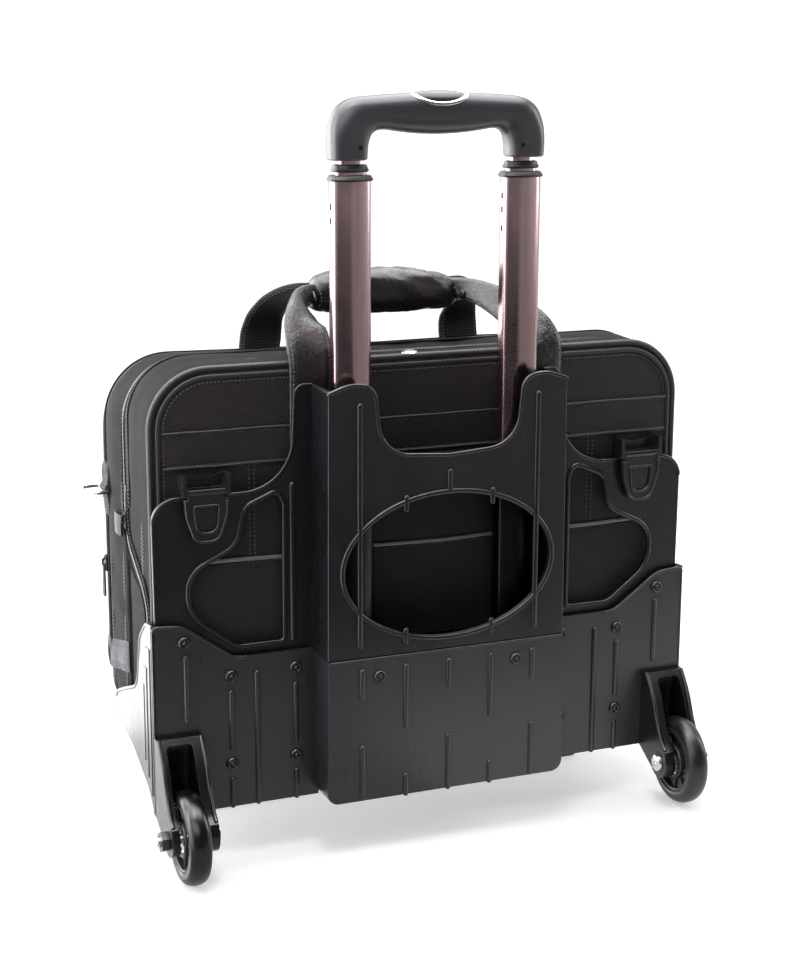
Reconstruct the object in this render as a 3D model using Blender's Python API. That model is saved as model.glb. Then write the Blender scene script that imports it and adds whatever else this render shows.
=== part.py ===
"""Rolling laptop case: a soft zipped bag clipped to a moulded wheeled trolley
with a three-stage telescopic handle.

Frame: +Z up from the floor, X across the case, -Y the trolley side that a
person pulls, +Y the front of the bag.  Lengths are metres.
"""
import math

import bmesh
import bpy
from mathutils import Matrix, Vector

# ---------------------------------------------------------------- dimensions
FRAME_Y = -0.0500          # the wing plates' face lies 50 mm behind the origin
GAP = 0.0003               # working gap between neighbouring pieces

# trolley, upper moulding
WING_HALF = 0.2192         # half width of the wing plates
WING_T = 0.0030            # wall thickness
WING_TOP = 0.2825          # flat top edge of the wings
WING_FOOT = 0.1500         # lower edge, hidden behind the skirt
SHOULDER_X, SHOULDER_Z = 0.1100, 0.3600
CHANNEL_HALF = 0.0962      # half width of the proud centre channel
CHANNEL_FACE = -0.0369     # its face
CHANNEL_WALL = 0.0028
CHANNEL_FOOT = 0.1556      # where it meets the base moulding
EAR_TOP = 0.3636
EAR_IN = 0.0605            # inner side of the ears
SCOOP_Z = 0.3070           # bottom of the scoop between the ears
OVAL_A, OVAL_B, OVAL_Z = 0.0840, 0.0550, 0.2215
RIB_X = 0.0720             # long ribs that run over the tubes

# trolley, base moulding
SKIRT_HALF = 0.2224
SKIRT_FACE = -0.0050
SKIRT_T = 0.0032
SKIRT_TOP = 0.1885         # at the outer corners
BAND_Z = 0.1580            # at the inner ends
SKIRT_FOOT = 0.0400
BOX_FACE = -0.0379
TRAY_LOW, TRAY_TOP = 0.0832, 0.0862
TRAY_FRONT = 0.1080
SIDE_T = 0.0030

# wheels
WHEEL_X, AXLE_Y, AXLE_Z = 0.2065, -0.0378, 0.0353
WHEEL_R, WHEEL_W = 0.0353, 0.0168
TYRE_IN = 0.0256
SLOT_IN, SLOT_OUT = 0.1957, 0.2170
FORK_IN, FORK_OUT = 0.1867, 0.2224
FORK_TOP = 0.1032

# telescopic handle
TUBE_X, TUBE_Y = 0.0680, -0.0070
FIXED = (0.0330, 0.0230, 0.0052, 0.0013)      # width, depth, arch height, wall
STAGE1 = (0.0296, 0.0196, 0.0048, 0.0012)
STAGE2 = (0.0236, 0.0140, 0.0036, 0.0011)
STAGE3 = (0.0166, 0.0092, 0.0024, 0.0011)
FIXED_Z = (0.0480, 0.3020)
STAGE1_Z = (0.2070, 0.5070)
STAGE2_Z = (0.2250, 0.5135)
STAGE3_Z = (0.2350, 0.5400)
LEG_FOOT = 0.5228
GRIP_TOP = 0.5690
GRIP_HALF = 0.0802

# bag
BAG_BACK = 0.0085
BAG_FOOT, BAG_TOP = 0.0870, 0.3740
BAG_HALF = 0.2165
SEAM1, SEAM2 = 0.0755, 0.1395
PANEL_FRONT, POUCH_FRONT = 0.1540, 0.1731

CLIP_X = 0.1790
CLIP_AXIS = (-0.0052, 0.2866)

# ---------------------------------------------------------------- scene start
for old in list(bpy.data.objects):
    bpy.data.objects.remove(old, do_unlink=True)

scene = bpy.context.scene.collection


# ---------------------------------------------------------------- materials
def make_material(name, colour, roughness, metallic=0.0):
    mat = bpy.data.materials.new(name)
    mat.use_nodes = True
    shader = mat.node_tree.nodes["Principled BSDF"]
    shader.inputs["Base Color"].default_value = (*colour, 1.0)
    shader.inputs["Roughness"].default_value = roughness
    shader.inputs["Metallic"].default_value = metallic
    mat.diffuse_color = (*colour, 1.0)
    return mat


SHELL = make_material("black_shell", (0.013, 0.013, 0.015), 0.36)
FORK = make_material("black_fork", (0.010, 0.010, 0.012), 0.30)
STEEL = make_material("bright_steel", (0.62, 0.62, 0.64), 0.25, 1.0)
RIVET = make_material("black_rivet", (0.012, 0.012, 0.014), 0.30)
DARK_TUBE = make_material("dark_tube", (0.022, 0.022, 0.024), 0.34, 0.8)
ROSE = make_material("rose_bronze_tube", (0.205, 0.135, 0.145), 0.26, 1.0)
COLLAR = make_material("black_collar", (0.012, 0.012, 0.012), 0.45)
GRIP = make_material("soft_black_grip", (0.028, 0.029, 0.034), 0.55)
BUTTON = make_material("button_plastic", (0.020, 0.020, 0.022), 0.35)
CHROME = make_material("satin_chrome", (0.70, 0.70, 0.72), 0.20, 1.0)
TYRE = make_material("wheel_rubber", (0.012, 0.012, 0.013), 0.42)
HUB = make_material("wheel_hub", (0.015, 0.015, 0.016), 0.35)
PAD = make_material("foot_rubber", (0.020, 0.020, 0.020), 0.75)
NYLON = make_material("twill_nylon", (0.026, 0.022, 0.028), 0.85)
LEATHER = make_material("black_leather", (0.020, 0.019, 0.022), 0.55)
CLIP = make_material("clip_plastic", (0.014, 0.014, 0.016), 0.30)
NICKEL = make_material("nickel", (0.66, 0.64, 0.62), 0.22, 1.0)


# ---------------------------------------------------------------- shape tools
def rounded(corners, seg=5):
    """Closed outline from (a, b, radius) corners, each turned into an arc."""
    out = []
    n = len(corners)
    for i in range(n):
        a, b, r = corners[i]
        p = Vector((a, b))
        before = Vector(corners[i - 1][:2]) - p
        after = Vector(corners[(i + 1) % n][:2]) - p
        if r <= 0.0:
            out.append((p.x, p.y))
            continue
        u, v = before.normalized(), after.normalized()
        half = math.acos(max(-1.0, min(1.0, u.dot(v)))) / 2.0
        if half > math.radians(88.5):
            out.append((p.x, p.y))
            continue
        reach = min(r / math.tan(half), before.length * 0.49, after.length * 0.49)
        radius = reach * math.tan(half)
        centre = p + (u + v).normalized() * (radius / math.sin(half))
        s, e = p + u * reach - centre, p + v * reach - centre
        turn = math.atan2(s.x * e.y - s.y * e.x, s.dot(e))
        for k in range(seg + 1):
            t = turn * k / seg
            c, d = math.cos(t), math.sin(t)
            q = centre + Vector((s.x * c - s.y * d, s.x * d + s.y * c))
            out.append((q.x, q.y))
    return out


def round_rect(width, depth, corner, cx=0.0, cy=0.0, seg=4):
    w, d = width / 2.0, depth / 2.0
    return rounded([(cx - w, cy - d, corner), (cx + w, cy - d, corner),
                    (cx + w, cy + d, corner), (cx - w, cy + d, corner)], seg)


def barrel(width, depth, crown, cx=0.0, cy=0.0, seg=8, edge=0.0012):
    """Tube section: flat sides facing X, arched faces towards -Y and +Y."""
    w, h = width / 2.0, depth / 2.0 - crown
    radius = (w * w + crown * crown) / (2.0 * crown)
    sweep = math.asin(w / radius)
    arc = []
    for k in range(seg + 1):
        t = -sweep + 2.0 * sweep * k / seg
        arc.append((radius * math.sin(t), h + crown - radius + radius * math.cos(t)))
    half = [(arc[0][0], arc[0][1] - edge)] + arc[1:-1] + [(arc[-1][0], arc[-1][1] - edge)]
    half[1:1] = [(arc[0][0] + edge * 0.5, arc[0][1])]
    half[-1:-1] = [(arc[-1][0] - edge * 0.5, arc[-1][1])]
    line = half + [(-a, -b) for a, b in half]
    return [(cx + a, cy + b) for a, b in line]


def ellipse(a, b, ca, cb, steps=48):
    return [(ca + a * math.cos(2 * math.pi * i / steps),
             cb + b * math.sin(2 * math.pi * i / steps)) for i in range(steps)]


def mirrored(outline):
    return [(-a, b) for a, b in reversed(outline)]


def place(axis, a, b, c):
    """Point from outline coordinates (a, b) and the height c along the axis."""
    return {"X": (c, a, b), "Y": (a, c, b), "Z": (a, b, c)}[axis]


def tidy(bm):
    bmesh.ops.recalc_face_normals(bm, faces=bm.faces)
    return bm


def prism(outline, axis, low, high):
    bm = bmesh.new()
    bottom = [bm.verts.new(place(axis, a, b, low)) for a, b in outline]
    top = [bm.verts.new(place(axis, a, b, high)) for a, b in outline]
    bm.faces.new(bottom)
    bm.faces.new(top)
    n = len(outline)
    for i in range(n):
        j = (i + 1) % n
        bm.faces.new((bottom[i], bottom[j], top[j], top[i]))
    return tidy(bm)


def sleeve(outer, inner, axis, low, high):
    """Open tube between two outlines that have the same number of points."""
    bm = bmesh.new()
    rings = [[bm.verts.new(place(axis, a, b, c)) for a, b in line]
             for line, c in ((outer, low), (outer, high), (inner, high), (inner, low))]
    n = len(outer)
    for k in range(4):
        first, second = rings[k], rings[(k + 1) % 4]
        for i in range(n):
            j = (i + 1) % n
            bm.faces.new((first[i], first[j], second[j], second[i]))
    return tidy(bm)


def box(x0, x1, y0, y1, z0, z1):
    return prism([(x0, z0), (x1, z0), (x1, z1), (x0, z1)], "Y", y0, y1)


def turned(profile, centre, axis="X", steps=32):
    """Solid of revolution of a closed (along, radius) profile about an axis."""
    bm = bmesh.new()
    rows = []
    for along, radius in profile:
        if radius < 1e-6:
            local = {"X": (along, 0, 0), "Y": (0, along, 0), "Z": (0, 0, along)}[axis]
            rows.append([bm.verts.new(Vector(centre) + Vector(local))])
            continue
        row = []
        for i in range(steps):
            t = 2 * math.pi * i / steps
            c, s = radius * math.cos(t), radius * math.sin(t)
            local = {"X": (along, c, s), "Y": (c, along, s), "Z": (c, s, along)}[axis]
            row.append(bm.verts.new(Vector(centre) + Vector(local)))
        rows.append(row)
    for k in range(len(rows)):
        first, second = rows[k], rows[(k + 1) % len(rows)]
        if len(first) == 1 and len(second) == 1:
            continue
        for i in range(steps):
            j = (i + 1) % steps
            if len(first) == 1:
                bm.faces.new((first[0], second[j], second[i]))
            elif len(second) == 1:
                bm.faces.new((first[i], first[j], second[0]))
            else:
                bm.faces.new((first[i], first[j], second[j], second[i]))
    return tidy(bm)


def ribbon(path, thick):
    """Flat strap along (x, y, z, width) stations, its face towards Y."""
    bm = bmesh.new()
    rows = []
    for i, (x, y, z, width) in enumerate(path):
        before, after = path[max(i - 1, 0)], path[min(i + 1, len(path) - 1)]
        run = Vector((after[0] - before[0], after[2] - before[2])).normalized()
        side = Vector((-run.y, run.x)) * (width / 2.0)
        rows.append([bm.verts.new((x + s * side.x, y + t * thick / 2.0, z + s * side.y))
                     for s, t in ((1, -1), (1, 1), (-1, 1), (-1, -1))])
    for first, second in zip(rows, rows[1:]):
        for i in range(4):
            j = (i + 1) % 4
            bm.faces.new((first[i], first[j], second[j], second[i]))
    bm.faces.new(rows[0])
    bm.faces.new(rows[-1])
    return tidy(bm)


def to_object(bm, name):
    mesh = bpy.data.meshes.new(name)
    bm.to_mesh(mesh)
    bm.free()
    obj = bpy.data.objects.new(name, mesh)
    scene.objects.link(obj)
    return obj


def shape(bm, join=(), cut=()):
    """One mesh from a body, the bodies joined to it and those cut from it."""
    base = to_object(bm, "work_base")
    others = []
    for operation, group in (("UNION", join), ("DIFFERENCE", cut)):
        for other in group:
            tool = to_object(other, "work_tool")
            others.append(tool)
            mod = base.modifiers.new("work", "BOOLEAN")
            mod.operation = operation
            mod.solver = "EXACT"
            mod.object = tool
    bpy.context.view_layer.update()
    graph = bpy.context.evaluated_depsgraph_get()
    mesh = bpy.data.meshes.new_from_object(base.evaluated_get(graph))
    result = bmesh.new()
    result.from_mesh(mesh)
    bmesh.ops.remove_doubles(result, verts=result.verts, dist=0.00002)
    bmesh.ops.dissolve_degenerate(result, edges=result.edges, dist=0.00001)
    for obj in [base] + others:
        bpy.data.objects.remove(obj, do_unlink=True)
    bpy.data.meshes.remove(mesh)
    return result


root = bpy.data.objects.new("case_frame", None)
root.location = (0.0, FRAME_Y, 0.0)
scene.objects.link(root)


def pivot(name, at, parent=None):
    """Empty on a joint axis; at is in the case's own frame."""
    empty = bpy.data.objects.new(name, None)
    scene.objects.link(empty)
    empty.parent = parent or root
    held = Vector((0, 0, 0)) if parent is None else Vector(parent["at"])
    empty.location = Vector(at) - held
    empty["at"] = list(at)
    return empty


def piece(name, bm, material, holder=None, smooth=32.0):
    """Named sub-part whose mesh is stored about its holder's axis."""
    at = Vector(holder["at"]) if holder is not None else Vector((0, 0, 0))
    bmesh.ops.translate(bm, verts=bm.verts, vec=-at)
    mesh = bpy.data.meshes.new(name)
    bm.to_mesh(mesh)
    bm.free()
    mesh.materials.append(material)
    mesh.shade_smooth()
    mesh.set_sharp_from_angle(angle=math.radians(smooth))
    obj = bpy.data.objects.new(name, mesh)
    scene.objects.link(obj)
    obj.parent = holder or root
    return obj


def both(bm):
    """The body and its mirror image across X = 0."""
    twin = bm.copy()
    bmesh.ops.scale(twin, verts=twin.verts, vec=(-1, 1, 1))
    bmesh.ops.reverse_faces(twin, faces=twin.faces)
    return bm, twin


def pair(stem, make, material, holders=(None, None)):
    left, right = both(make)[1], make
    piece(stem + "_left", left, material, holders[0])
    piece(stem + "_right", right, material, holders[1])


# ---------------------------------------------------------------- pivots
axle = Vector((WHEEL_X, AXLE_Y, AXLE_Z))
wheel_r = pivot("wheel_right_axis", axle)
wheel_l = pivot("wheel_left_axis", (-axle.x, axle.y, axle.z))
stage1 = pivot("stage1_slide", (0, TUBE_Y, STAGE1_Z[1]))
stage2 = pivot("stage2_slide", (0, TUBE_Y, STAGE2_Z[1]), stage1)
stage3 = pivot("handle_slide", (0, TUBE_Y, LEG_FOOT), stage2)
button = pivot("button_slide", (0, TUBE_Y, GRIP_TOP), stage3)
bag = pivot("bag_slide", (0, BAG_BACK, BAG_FOOT))
clip_r = pivot("latch_right_axis", (CLIP_X, *CLIP_AXIS), bag)
clip_l = pivot("latch_left_axis", (-CLIP_X, *CLIP_AXIS), bag)
front_at = (0, SEAM2, BAG_FOOT)
front = pivot("front_section_axis", front_at, bag)
pocket_at = (0, PANEL_FRONT - 0.0004, BAG_FOOT + 0.0045)
pocket = pivot("front_pocket_axis", pocket_at, front)

# ---------------------------------------------------------------- back panel
wing = rounded([
    (CHANNEL_HALF - 0.0015, WING_FOOT, 0), (WING_HALF - 0.0010, WING_FOOT, 0.004),
    (WING_HALF, WING_TOP, 0.0180), (0.1118, WING_TOP, 0.0420),
    (SHOULDER_X - 0.0015, SHOULDER_Z, 0.0130), (CHANNEL_HALF - 0.0015, SHOULDER_Z, 0),
], 6)
window = rounded([
    (0.1195, 0.1660, 0.0040), (0.1560, 0.1660, 0.0140), (0.1915, 0.1930, 0.0300),
    (0.1915, 0.2240, 0.0220), (0.1545, 0.2420, 0.0180), (0.1495, 0.2690, 0.0120),
    (0.1240, 0.2795, 0.0080), (0.1190, 0.2690, 0.0060),
], 4)
channel = rounded([
    (0.0, CHANNEL_FOOT, 0), (CHANNEL_HALF + 0.0012, CHANNEL_FOOT, 0),
    (CHANNEL_HALF, EAR_TOP - 0.0048, 0.0020), (0.0790, EAR_TOP + 0.0012, 0.0300), (EAR_IN, EAR_TOP - 0.0016, 0.0150),
    (0.0553, 0.3110, 0.0270), (0.0, SCOOP_Z, 0),
], 6)
channel = channel + [(-a, b) for a, b in reversed(channel) if a > 1e-5]
inner_half = CHANNEL_HALF - CHANNEL_WALL
hollow = [(-inner_half - 0.0010, CHANNEL_FOOT - 0.01), (inner_half + 0.0010, CHANNEL_FOOT - 0.01),
          (inner_half, EAR_TOP + 0.01), (-inner_half, EAR_TOP + 0.01)]


def rim(outline, centre, grow, base, proud):
    """Raised bead just outside an opening."""
    outer = [(centre[0] + (a - centre[0]) * (1 + grow), centre[1] + (b - centre[1]) * (1 + grow))
             for a, b in outline]
    return sleeve(outer, outline, "Y", base - proud, base + 0.001)


oval_in = ellipse(OVAL_A, OVAL_B, 0, OVAL_Z, 40)
oval_out = ellipse(OVAL_A + 0.0042, OVAL_B + 0.0042, 0, OVAL_Z, 40)
window_centre = (0.1535, 0.2150)
ribs = []
for side in (-1, 1):
    x = side * RIB_X
    ribs.append(box(x - 0.0013, x + 0.0013, CHANNEL_FACE - 0.0013, CHANNEL_FACE + 0.001, 0.1640, 0.3490))
    x = side * 0.1116
    ribs.append(box(x - 0.0016, x + 0.0016, -0.0014, 0.001, 0.1640, 0.2860))
ribs.append(box(-0.0012, 0.0012, CHANNEL_FACE - 0.0012, CHANNEL_FACE + 0.001, 0.2815, 0.2945))
wing_r, wing_l = prism(wing, "Y", 0.0, WING_T), prism(mirrored(wing), "Y", 0.0, WING_T)
rim_r, rim_l = both(rim(window, window_centre, 0.075, 0.0, 0.0013))
body = shape(
    prism(channel, "Y", CHANNEL_FACE, WING_T),
    join=[wing_r, wing_l, sleeve(oval_out, ellipse(OVAL_A - 0.001, OVAL_B - 0.001, 0, OVAL_Z, 40),
                                 "Y", CHANNEL_FACE - 0.0018, CHANNEL_FACE + 0.001),
          rim_r, rim_l] + ribs,
    cut=[prism(hollow, "Y", CHANNEL_FACE + CHANNEL_WALL, WING_T + 0.01),
         prism(oval_in, "Y", CHANNEL_FACE - 0.01, CHANNEL_FACE + 0.01),
         prism(window, "Y", -0.01, 0.01), prism(mirrored(window), "Y", -0.01, 0.01)])
piece("back_panel", body, SHELL)

# ---------------------------------------------------------------- base moulding
skirt = rounded([
    (0.0940, SKIRT_FOOT, 0), (SKIRT_HALF, SKIRT_FOOT, 0), (SKIRT_HALF, SKIRT_TOP, 0.0030),
    (0.1990, 0.1868, 0.0250), (0.1600, 0.1585, 0.0200), (0.1500, BAND_Z, 0), (0.0980, BAND_Z, 0),
    (0.0980, CHANNEL_FOOT - 0.0006, 0), (0.0940, CHANNEL_FOOT - 0.0006, 0),
], 5)
side_wall = rounded([
    (SKIRT_FACE, SKIRT_FOOT, 0), (SKIRT_FACE, SKIRT_TOP, 0), (0.0120, 0.1872, 0.0100),
    (0.0300, 0.1720, 0.0200), (0.0400, 0.1300, 0.0250), (0.0860, 0.1128, 0.0200),
    (TRAY_FRONT, 0.1035, 0.0120), (TRAY_FRONT, 0.0835, 0.0060), (0.0600, 0.0748, 0.0300),
    (0.0150, 0.0555, 0.0200), (-0.0010, SKIRT_FOOT, 0.0040),
], 4)
box_front = rounded([
    (-0.0985, 0.0425, 0.0090), (0.0985, 0.0425, 0.0090), (0.0972, CHANNEL_FOOT - GAP, 0),
    (-0.0972, CHANNEL_FOOT - GAP, 0)], 4)
base_join, base_cut = [], []
for side in (-1, 1):
    line = skirt if side > 0 else mirrored(skirt)
    base_join.append(prism(line, "Y", SKIRT_FACE, SKIRT_FACE + SKIRT_T))
    x0, x1 = sorted((side * (SKIRT_HALF - SIDE_T), side * SKIRT_HALF))
    base_join.append(prism(side_wall, "X", x0, x1))
    x0, x1 = sorted((side * 0.1925, side * (SKIRT_HALF - 0.001)))
    base_join.append(box(x0, x1, SKIRT_FACE, 0.0040, SKIRT_FOOT, 0.1040))
    x0, x1 = sorted((side * SLOT_IN, side * SLOT_OUT))
    base_cut.append(box(x0, x1, SKIRT_FACE - 0.005, 0.0012, 0.0300, 0.0988))
    for x, low, high in ((0.1970, 0.1100, 0.1640), (0.1626, 0.0850, 0.1330),
                         (0.1626, SKIRT_FOOT, 0.0640), (0.1424, SKIRT_FOOT, 0.1460),
                         (0.1118, 0.0840, 0.1330), (0.1118, SKIRT_FOOT, 0.0640)):
        base_join.append(box(side * x - 0.0012, side * x + 0.0012, SKIRT_FACE - 0.0012,
                             SKIRT_FACE + 0.001, low + 0.0002, high))
    for x, low, high in ((0.0706, 0.1225, 0.1480), (0.0706, 0.0440, 0.0875),
                         (0.0352, 0.0960, 0.1480), (0.0352, 0.0430, 0.0604)):
        base_join.append(box(side * x - 0.0012, side * x + 0.0012, BOX_FACE - 0.0012,
                             BOX_FACE + 0.001, low, high))
base_join += [box(-0.0012, 0.0012, BOX_FACE - 0.0012, BOX_FACE + 0.001, 0.1240, 0.1480),
              box(-0.0012, 0.0012, BOX_FACE - 0.0012, BOX_FACE + 0.001, 0.0428, 0.0873),
              box(-SKIRT_HALF + 0.001, SKIRT_HALF - 0.001, 0.0088, TRAY_FRONT - 0.0006, TRAY_LOW, TRAY_TOP),
              box(-SKIRT_HALF + 0.001, -0.0935, SKIRT_FACE + 0.001, 0.0100, TRAY_LOW, TRAY_TOP),
              box(0.0935, SKIRT_HALF - 0.001, SKIRT_FACE + 0.001, 0.0100, TRAY_LOW, TRAY_TOP)]
base_cut.append(box(-0.0940, 0.0940, BOX_FACE + 0.0026, 0.0075, 0.0456, 0.1600))
for side in (-1, 1):
    # room for the foot of the wing plate behind the skirt
    x0, x1 = sorted((side * 0.0920, side * 0.1000))
    base_cut.append(box(x0, x1, SKIRT_FACE + SKIRT_T, 0.0130, WING_FOOT - 0.0010, 0.1700))
body = shape(prism(box_front, "Y", BOX_FACE, 0.0060), join=base_join, cut=base_cut)
piece("base_shell", body, SHELL)

# rivets through the skirts and the centre box
rivet_spots = [(0.1980, 0.1737, SKIRT_FACE), (0.1626, 0.1435, SKIRT_FACE), (0.1118, 0.1444, SKIRT_FACE),
               (0.1626, 0.0745, SKIRT_FACE), (0.1118, 0.0742, SKIRT_FACE), (0.0566, 0.1405, BOX_FACE)]
rivet_names = ["corner", "upper_outer", "upper_inner", "lower_outer", "lower_inner", "centre"]
for (x, z, face), label in zip(rivet_spots, rivet_names):
    top = face - GAP
    head = turned([(0, 0), (0, 0.0046), (-0.0010, 0.0046), (-0.0022, 0.0036), (-0.0028, 0.0018),
                   (-0.0029, 0)], (x, top, z), "Y", 14)
    pair("rivet_" + label, head, RIVET)

# ---------------------------------------------------------------- wheel forks
END_R = 0.0125


def arm_outline():
    front_y = SKIRT_FACE - GAP
    pts = [(front_y, SKIRT_FOOT + 0.0005), (front_y, FORK_TOP), (front_y - 0.0055, FORK_TOP - 0.0010),
           (front_y - 0.0120, FORK_TOP - 0.0090), (-0.0300, 0.0700), (-0.0388, 0.0545)]
    start, stop = math.radians(150.0), math.radians(320.0)
    for k in range(11):
        t = start + (stop - start) * k / 10
        pts.append((AXLE_Y + END_R * math.cos(t), AXLE_Z + END_R * math.sin(t)))
    return pts


fork = shape(prism(arm_outline(), "X", FORK_IN, FORK_OUT),
             cut=[box(SLOT_IN, SLOT_OUT, -0.08, 0.01, -0.01, 0.0986),
                  turned([(-0.03, 0), (-0.03, 0.0041), (0.03, 0.0041), (0.03, 0)], axle, "X", 20)])
pair("wheel_fork", fork, FORK)

# axle bolt with a domed head inside and a cap nut outside
head_x = FORK_IN - GAP - WHEEL_X
nut_x = FORK_OUT + GAP - WHEEL_X
bolt = turned([(head_x - 0.0042, 0), (head_x - 0.0038, 0.0030), (head_x - 0.0024, 0.0058),
               (head_x - 0.0004, 0.0070), (head_x, 0.0070), (head_x, 0.0037),
               (nut_x + 0.0085, 0.0037), (nut_x + 0.0090, 0.0032), (nut_x + 0.0090, 0)], axle, "X", 20)
pair("axle_bolt", bolt, STEEL)
hexagon = [(AXLE_Y + 0.0080 * math.cos(math.pi * (i + 0.5) / 3),
            AXLE_Z + 0.0080 * math.sin(math.pi * (i + 0.5) / 3)) for i in range(6)]
nut = shape(prism(hexagon, "X", WHEEL_X + nut_x, WHEEL_X + nut_x + 0.0062),
            cut=[turned([(-0.03, 0), (-0.03, 0.0041), (0.03, 0.0041), (0.03, 0)], axle, "X", 20)])
pair("axle_nut", nut, RIVET)

# ---------------------------------------------------------------- wheels
half = WHEEL_W / 2.0
crown = [(-half, TYRE_IN + 0.0008), (-half, WHEEL_R - 0.0048)]
for k in range(1, 6):
    t = math.pi * k / 6
    crown.append((-half * math.cos(t), WHEEL_R - 0.0048 + 0.0048 * math.sin(t)))
crown += [(half, WHEEL_R - 0.0048), (half, TYRE_IN + 0.0008), (half - 0.0008, TYRE_IN),
          (-half + 0.0008, TYRE_IN)]
tyre = turned(crown, axle, "X", 40)
pair("wheel_tyre", tyre, TYRE, (wheel_l, wheel_r))
rim_r0 = TYRE_IN - GAP
hub_profile = [(-0.0072, 0.0113), (-0.0072, 0.0140), (-0.0022, 0.0142), (-0.0022, 0.0222),
               (-0.0070, 0.0228), (-0.0070, rim_r0), (0.0070, rim_r0), (0.0070, 0.0228),
               (0.0022, 0.0222), (0.0022, 0.0142), (0.0072, 0.0140), (0.0072, 0.0113)]
holes = []
for k in range(5):
    t = 2 * math.pi * (k + 0.25) / 5
    at = (axle.x, axle.y + 0.0182 * math.cos(t), axle.z + 0.0182 * math.sin(t))
    holes.append(turned([(-0.02, 0), (-0.02, 0.0036), (0.02, 0.0036), (0.02, 0)], at, "X", 12))
hub = shape(turned(hub_profile, axle, "X", 30), cut=holes)
pair("wheel_hub", hub, HUB, (wheel_l, wheel_r))
bearing = turned([(-0.0062, 0.0041), (-0.0062, 0.0110), (0.0062, 0.0110), (0.0062, 0.0041)], axle, "X", 24)
pair("wheel_bearing", bearing, STEEL, (wheel_l, wheel_r))

# ---------------------------------------------------------------- stand legs
leg_x, leg_y = 0.1640, 0.0930
leg_top = [(leg_x - 0.0140, leg_y - 0.0110), (leg_x + 0.0140, leg_y - 0.0110),
           (leg_x + 0.0140, leg_y + 0.0110), (leg_x - 0.0140, leg_y + 0.0110)]
leg = bmesh.new()
upper = [leg.verts.new((x, y, TRAY_LOW - GAP)) for x, y in leg_top]
lower = [leg.verts.new((leg_x + (x - leg_x) * 0.72, leg_y + (y - leg_y) * 0.78, 0.0063)) for x, y in leg_top]
leg.faces.new(upper)
leg.faces.new(lower)
for i in range(4):
    leg.faces.new((upper[i], upper[(i + 1) % 4], lower[(i + 1) % 4], lower[i]))
pair("stand_leg", tidy(leg), SHELL)
pad = prism(round_rect(0.0240, 0.0210, 0.0050, leg_x, leg_y, 3), "Z", 0.0, 0.0060)
pair("foot_pad", pad, PAD)

# ---------------------------------------------------------------- telescopic tubes
def tube_lines(size, x=TUBE_X, y=TUBE_Y):
    width, depth, crown, wall = size
    return (barrel(width, depth, crown, x, y),
            barrel(width - 2 * wall, depth - 2 * wall, crown, x, y))


for stem, size, span, mat, holder in (
        ("fixed_tube", FIXED, FIXED_Z, DARK_TUBE, None),
        ("stage1_tube", STAGE1, STAGE1_Z, ROSE, stage1),
        ("stage2_tube", STAGE2, STAGE2_Z, ROSE, stage2),
        ("stage3_tube", STAGE3, STAGE3_Z, ROSE, stage3)):
    outer, inner = tube_lines(size)
    pair(stem, sleeve(outer, inner, "Z", *span), mat, (holder, holder))

for stem, size, bore, low, high, holder in (
        ("stage1_collar", (0.0304, 0.0204, 0.0048), (0.0242, 0.0146, 0.0036),
         STAGE1_Z[1] + GAP, STAGE1_Z[1] + 0.0042, stage1),
        ("stage2_collar", (0.0250, 0.0154, 0.0038), (0.0172, 0.0098, 0.0024),
         STAGE2_Z[1] + GAP, STAGE2_Z[1] + 0.0052, stage2)):
    ring = sleeve(barrel(*size, TUBE_X, TUBE_Y), barrel(*bore, TUBE_X, TUBE_Y), "Z", low, high)
    pair(stem, ring, COLLAR, (holder, holder))

# brace that ties both fixed tubes to the back panel
brace_holes = []
for side in (-1, 1):
    line = barrel(FIXED[0] + 3 * GAP, FIXED[1] + 3 * GAP, FIXED[2], side * TUBE_X, TUBE_Y)
    brace_holes.append(prism(line, "Z", 0.2, 0.4))
brace = shape(box(-0.0918, 0.0918, CHANNEL_FACE + CHANNEL_WALL + GAP, 0.0070, 0.2820, 0.3000), cut=brace_holes)
piece("tube_brace", brace, SHELL)

# ---------------------------------------------------------------- grip
grip_line = rounded([
    (GRIP_HALF, LEG_FOOT, 0.0030), (GRIP_HALF, GRIP_TOP - 0.0025, 0.0180), (0.0300, GRIP_TOP, 0.0300),
    (-0.0300, GRIP_TOP, 0.0300), (-GRIP_HALF, GRIP_TOP - 0.0025, 0.0180), (-GRIP_HALF, LEG_FOOT, 0.0030),
    (-0.0568, LEG_FOOT, 0.0030), (-0.0560, 0.5430, 0.0110), (0.0, 0.5400, 0.03),
    (0.0560, 0.5430, 0.0110), (0.0568, LEG_FOOT, 0.0030),
], 5)
grip = prism(grip_line, "Y", TUBE_Y - 0.0120, TUBE_Y + 0.0120)
rounding = [e for e in grip.edges if abs(e.verts[0].co.y - e.verts[1].co.y) < 1e-6]
bmesh.ops.bevel(grip, geom=rounding, offset=0.0058, segments=3, affect="EDGES", clamp_overlap=True)
sockets = []
for side in (-1, 1):
    outer = barrel(STAGE3[0] + 3 * GAP, STAGE3[1] + 3 * GAP, STAGE3[2], side * TUBE_X, TUBE_Y)
    sockets.append(prism(outer, "Z", 0.5, STAGE3_Z[1] + GAP))
pocket_line = ellipse(0.0226, 0.0098, 0, TUBE_Y, 28)
sockets.append(prism(pocket_line, "Z", GRIP_TOP - 0.0110, GRIP_TOP + 0.01))
grip = shape(tidy(grip), cut=sockets)
piece("handle_grip", grip, GRIP, stage3)
ring_out, ring_in = ellipse(0.0222, 0.0094, 0, TUBE_Y, 28), ellipse(0.0202, 0.0076, 0, TUBE_Y, 28)
piece("grip_ring", sleeve(ring_out, ring_in, "Z", GRIP_TOP - 0.0106, GRIP_TOP + 0.0006), CHROME, stage3)
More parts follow.
